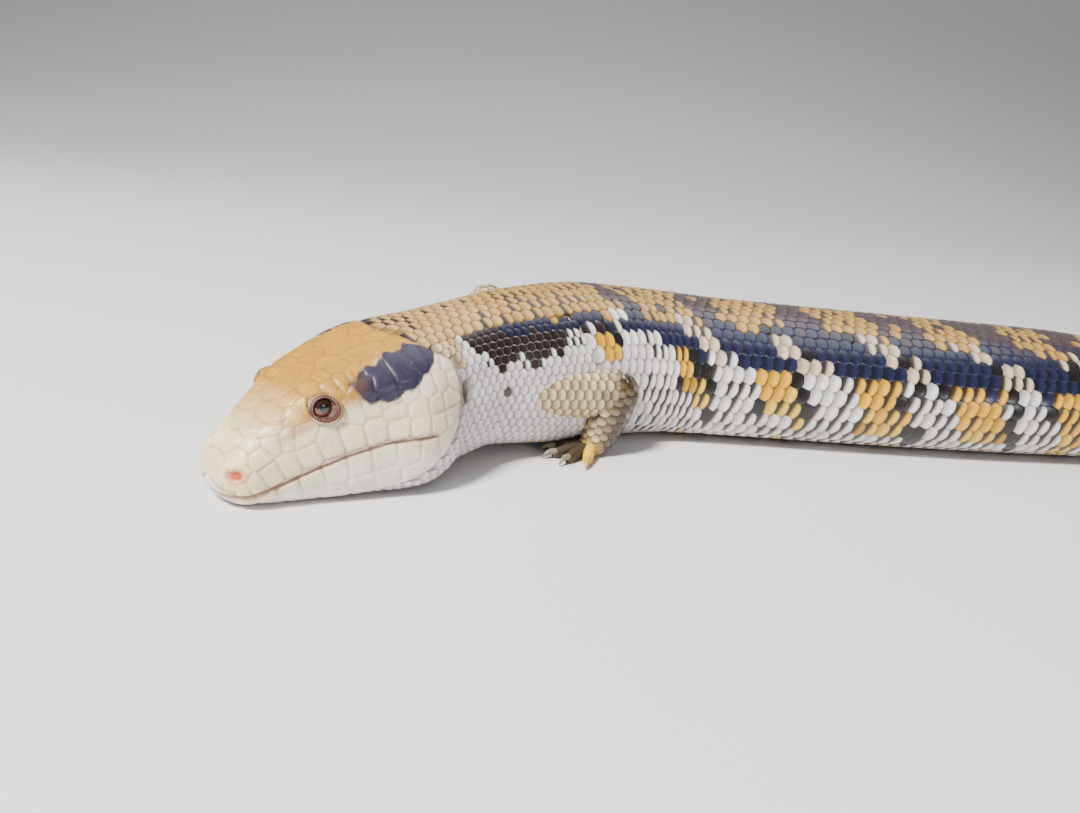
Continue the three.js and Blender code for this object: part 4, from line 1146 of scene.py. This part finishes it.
def add_eye(side, node):
    centre, forward, upward, looks = eye_axes(side)
    polar = np.concatenate([np.linspace(0.01, 1.0, 60), np.linspace(1.05, math.pi - 0.02, 24)])[:, None, None]
    turns = (np.arange(EYE_SIDES) / EYE_SIDES * 2 * math.pi)[None, :, None]
    swell = 1 + CORNEA_RISE * np.exp(-((polar / CORNEA_REACH) ** 4))
    direction = np.cos(polar) * looks + np.sin(polar) * (np.cos(turns) * forward + np.sin(turns) * upward)
    points = (centre + EYE_BALL * swell * direction).reshape(-1, 3)
    angle, turn = np.broadcast_arrays(polar[..., 0], turns[..., 0])
    # The iris is darker towards its top as painted shade under the lid
    iris = mix(IRIS_SHADED, IRIS_LIGHT, smooth_step(0.2, -0.6, np.sin(turn)))
    iris = iris * (0.85 + 0.15 * np.sin(turn * 23))[..., None]
    tint = mix(iris, PUPIL, smooth_step(0.36, 0.32, angle))
    tint = mix(tint, EYE_EDGE, smooth_step(0.62, 0.72, angle))
    patch = np.stack(ring_grid(np.linspace(0, 1, len(polar)), EYE_SIDES), -1).reshape(-1, 2)
    piece = make_mesh(f"{node}_ball", points, [ring_faces(len(polar), EYE_SIDES)], tint.reshape(-1, 3),
                      np.full(len(points), 1.0), patch, EYE_LOOK)
    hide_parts(node)


def add_lids(side, name):
    centre, forward, upward, looks = eye_axes(side)
    reach = np.linspace(0.9, 2.3, 57)
    grid, turn = np.meshgrid(reach, np.linspace(0, 2 * math.pi, 97), indexing="ij")
    f, u = grid * EYE_HALF_LENGTH * np.cos(turn), grid * EYE_HALF_HEIGHT * np.sin(turn)
    dome = np.sqrt(np.maximum(LID_BALL**2 - f**2 - u**2, 0))
    surface = side_at(np.clip(EYE_ALONG - f, 1, 40), EYE_UP + u) - EYE_OUT
    lift = np.maximum(dome, surface - 0.2)
    table = centre + f[..., None] * forward + u[..., None] * upward + lift[..., None] * looks
    sheet = Sheet(reach * EYE_HALF_LENGTH, table)
    if (sheet.normals[10, 10] @ looks) < 0:
        sheet.normals = -sheet.normals
    rows = [np.stack([np.full(number, at * EYE_HALF_LENGTH), (np.arange(number) + row / 2) / number,
                      np.full(number, number)]) for row, (at, number) in enumerate(LID_ROWS)]
    along, share, number = np.concatenate(rows, 1)
    turn = share * 2 * math.pi
    ahead_low = smooth_step(-0.2, 0.6, np.cos(turn) * 0.7 - np.sin(turn) * 0.7)
    outer = mix(CROWN * 0.45 + BROWN * 0.3, CREAM * 0.36 + TAN * 0.16 + PINK * 0.1, ahead_low)
    inner = (along < INNER_LID * EYE_HALF_LENGTH)[:, None]
    colour = np.where(inner, MAROON * 0.8 + RUST * 0.12, outer)
    # Rims and fronts of the lid scales are darker copies, as painted shade at the seams
    paint = (colour, colour * 0.5, colour * 0.8, np.full(len(along), 0.5))
    piece = plates(name, sheet, along, share, np.full(len(along), LID_SCALE_HALF),
                   sheet.girth(along) / number * LID_SCALE_REACH, paint, coat=0.08, tilt=0.05, dome=0.5)


for side, flank in ((1, "left"), (-1, "right")):
    add_eye(side, f"eye_{flank}")
    add_lids(side, f"lids_{flank}")


# Floor sweep, lights and camera
def link(name, data):
    piece = bpy.data.objects.new(name, data)
    bpy.context.scene.collection.objects.link(piece)
    return piece


def axes_at(right, upward, back, spot):
    """Matrix of an object that looks against its third axis."""
    return Matrix([[right[i], upward[i], back[i], spot[i]] for i in range(3)] + [[0, 0, 0, 1]])


SWEEP_START, SWEEP_RADIUS, SWEEP_HALF, SWEEP_TOP, SWEEP_STEPS = 0.5, 1.8, 4.0, 3.5, 32
profile = [(-3.0, 0.0), (SWEEP_START, 0.0)]
for i in range(1, SWEEP_STEPS + 1):
    turn = i / SWEEP_STEPS * math.pi / 2
    profile.append((SWEEP_START + SWEEP_RADIUS * math.sin(turn), SWEEP_RADIUS * (1 - math.cos(turn))))
profile.append((SWEEP_START + SWEEP_RADIUS, SWEEP_TOP))
mesh = bpy.data.meshes.new("floor")
mesh.from_pydata([(x, y, z) for y, z in profile for x in (-SWEEP_HALF, SWEEP_HALF)], [],
                 [(2 * i, 2 * i + 1, 2 * i + 3, 2 * i + 2) for i in range(len(profile) - 1)])
mesh.polygons.foreach_set("use_smooth", [True] * len(mesh.polygons))
paper = bpy.data.materials.new("floor")
paper.use_nodes = True
shader = paper.node_tree.nodes["Principled BSDF"]
shader.inputs["Base Color"].default_value = (*linear(228, 228, 230), 1)
shader.inputs["Roughness"].default_value = 0.85
mesh.materials.append(paper)
piece = link("floor", mesh)

TARGET = np.array([0, 0, 0.02])
LIGHTS = [("key", (-0.45, -0.5, 0.75), 0.2, 23, (1, 0.96, 0.89)),
          ("sky", (0.1, 0.45, 0.9), 0.9, 4.5, (0.9, 0.94, 1)),
          ("fill", (0.6, -0.7, 0.4), 0.2, 1.2, (0.97, 0.98, 1))]
for name, spot, size, power, colour in LIGHTS:
    light = bpy.data.lights.new(name, "AREA")
    light.shape = "DISK"
    light.size = size
    light.energy = power
    light.color = colour
    back = unit(np.array(spot) - TARGET)
    right = unit(np.cross([0.0, 0, 1], back))
    link(name, light).matrix_world = axes_at(right, np.cross(back, right), back, spot)
world = bpy.data.worlds.new("studio")
world.use_nodes = True
world.node_tree.nodes["Background"].inputs["Color"].default_value = (0.9, 0.94, 1, 1)
world.node_tree.nodes["Background"].inputs["Strength"].default_value = 0.17
bpy.context.scene.world = world

PHOTO_WIDTH, FOCAL_PIXELS, SENSOR = 1080, 900, 36
CAMERA_SPOT = np.array([-67.7, -234.26, 71])
CAMERA_PITCH, CAMERA_ROLL = math.radians(17.75), math.radians(6.3)
looking = np.array([0, math.cos(CAMERA_PITCH), -math.sin(CAMERA_PITCH)])
level = np.array([1.0, 0, 0])
above = np.cross(level, looking)
camera_data = bpy.data.cameras.new("camera")
camera_data.sensor_width = SENSOR
camera_data.lens = FOCAL_PIXELS / PHOTO_WIDTH * SENSOR
camera_data.clip_start = 0.01
camera = link("camera", camera_data)
camera.matrix_world = axes_at(math.cos(CAMERA_ROLL) * level + math.sin(CAMERA_ROLL) * above,
                              math.cos(CAMERA_ROLL) * above - math.sin(CAMERA_ROLL) * level,
                              -looking, CAMERA_SPOT * MM)
bpy.context.scene.camera = camera
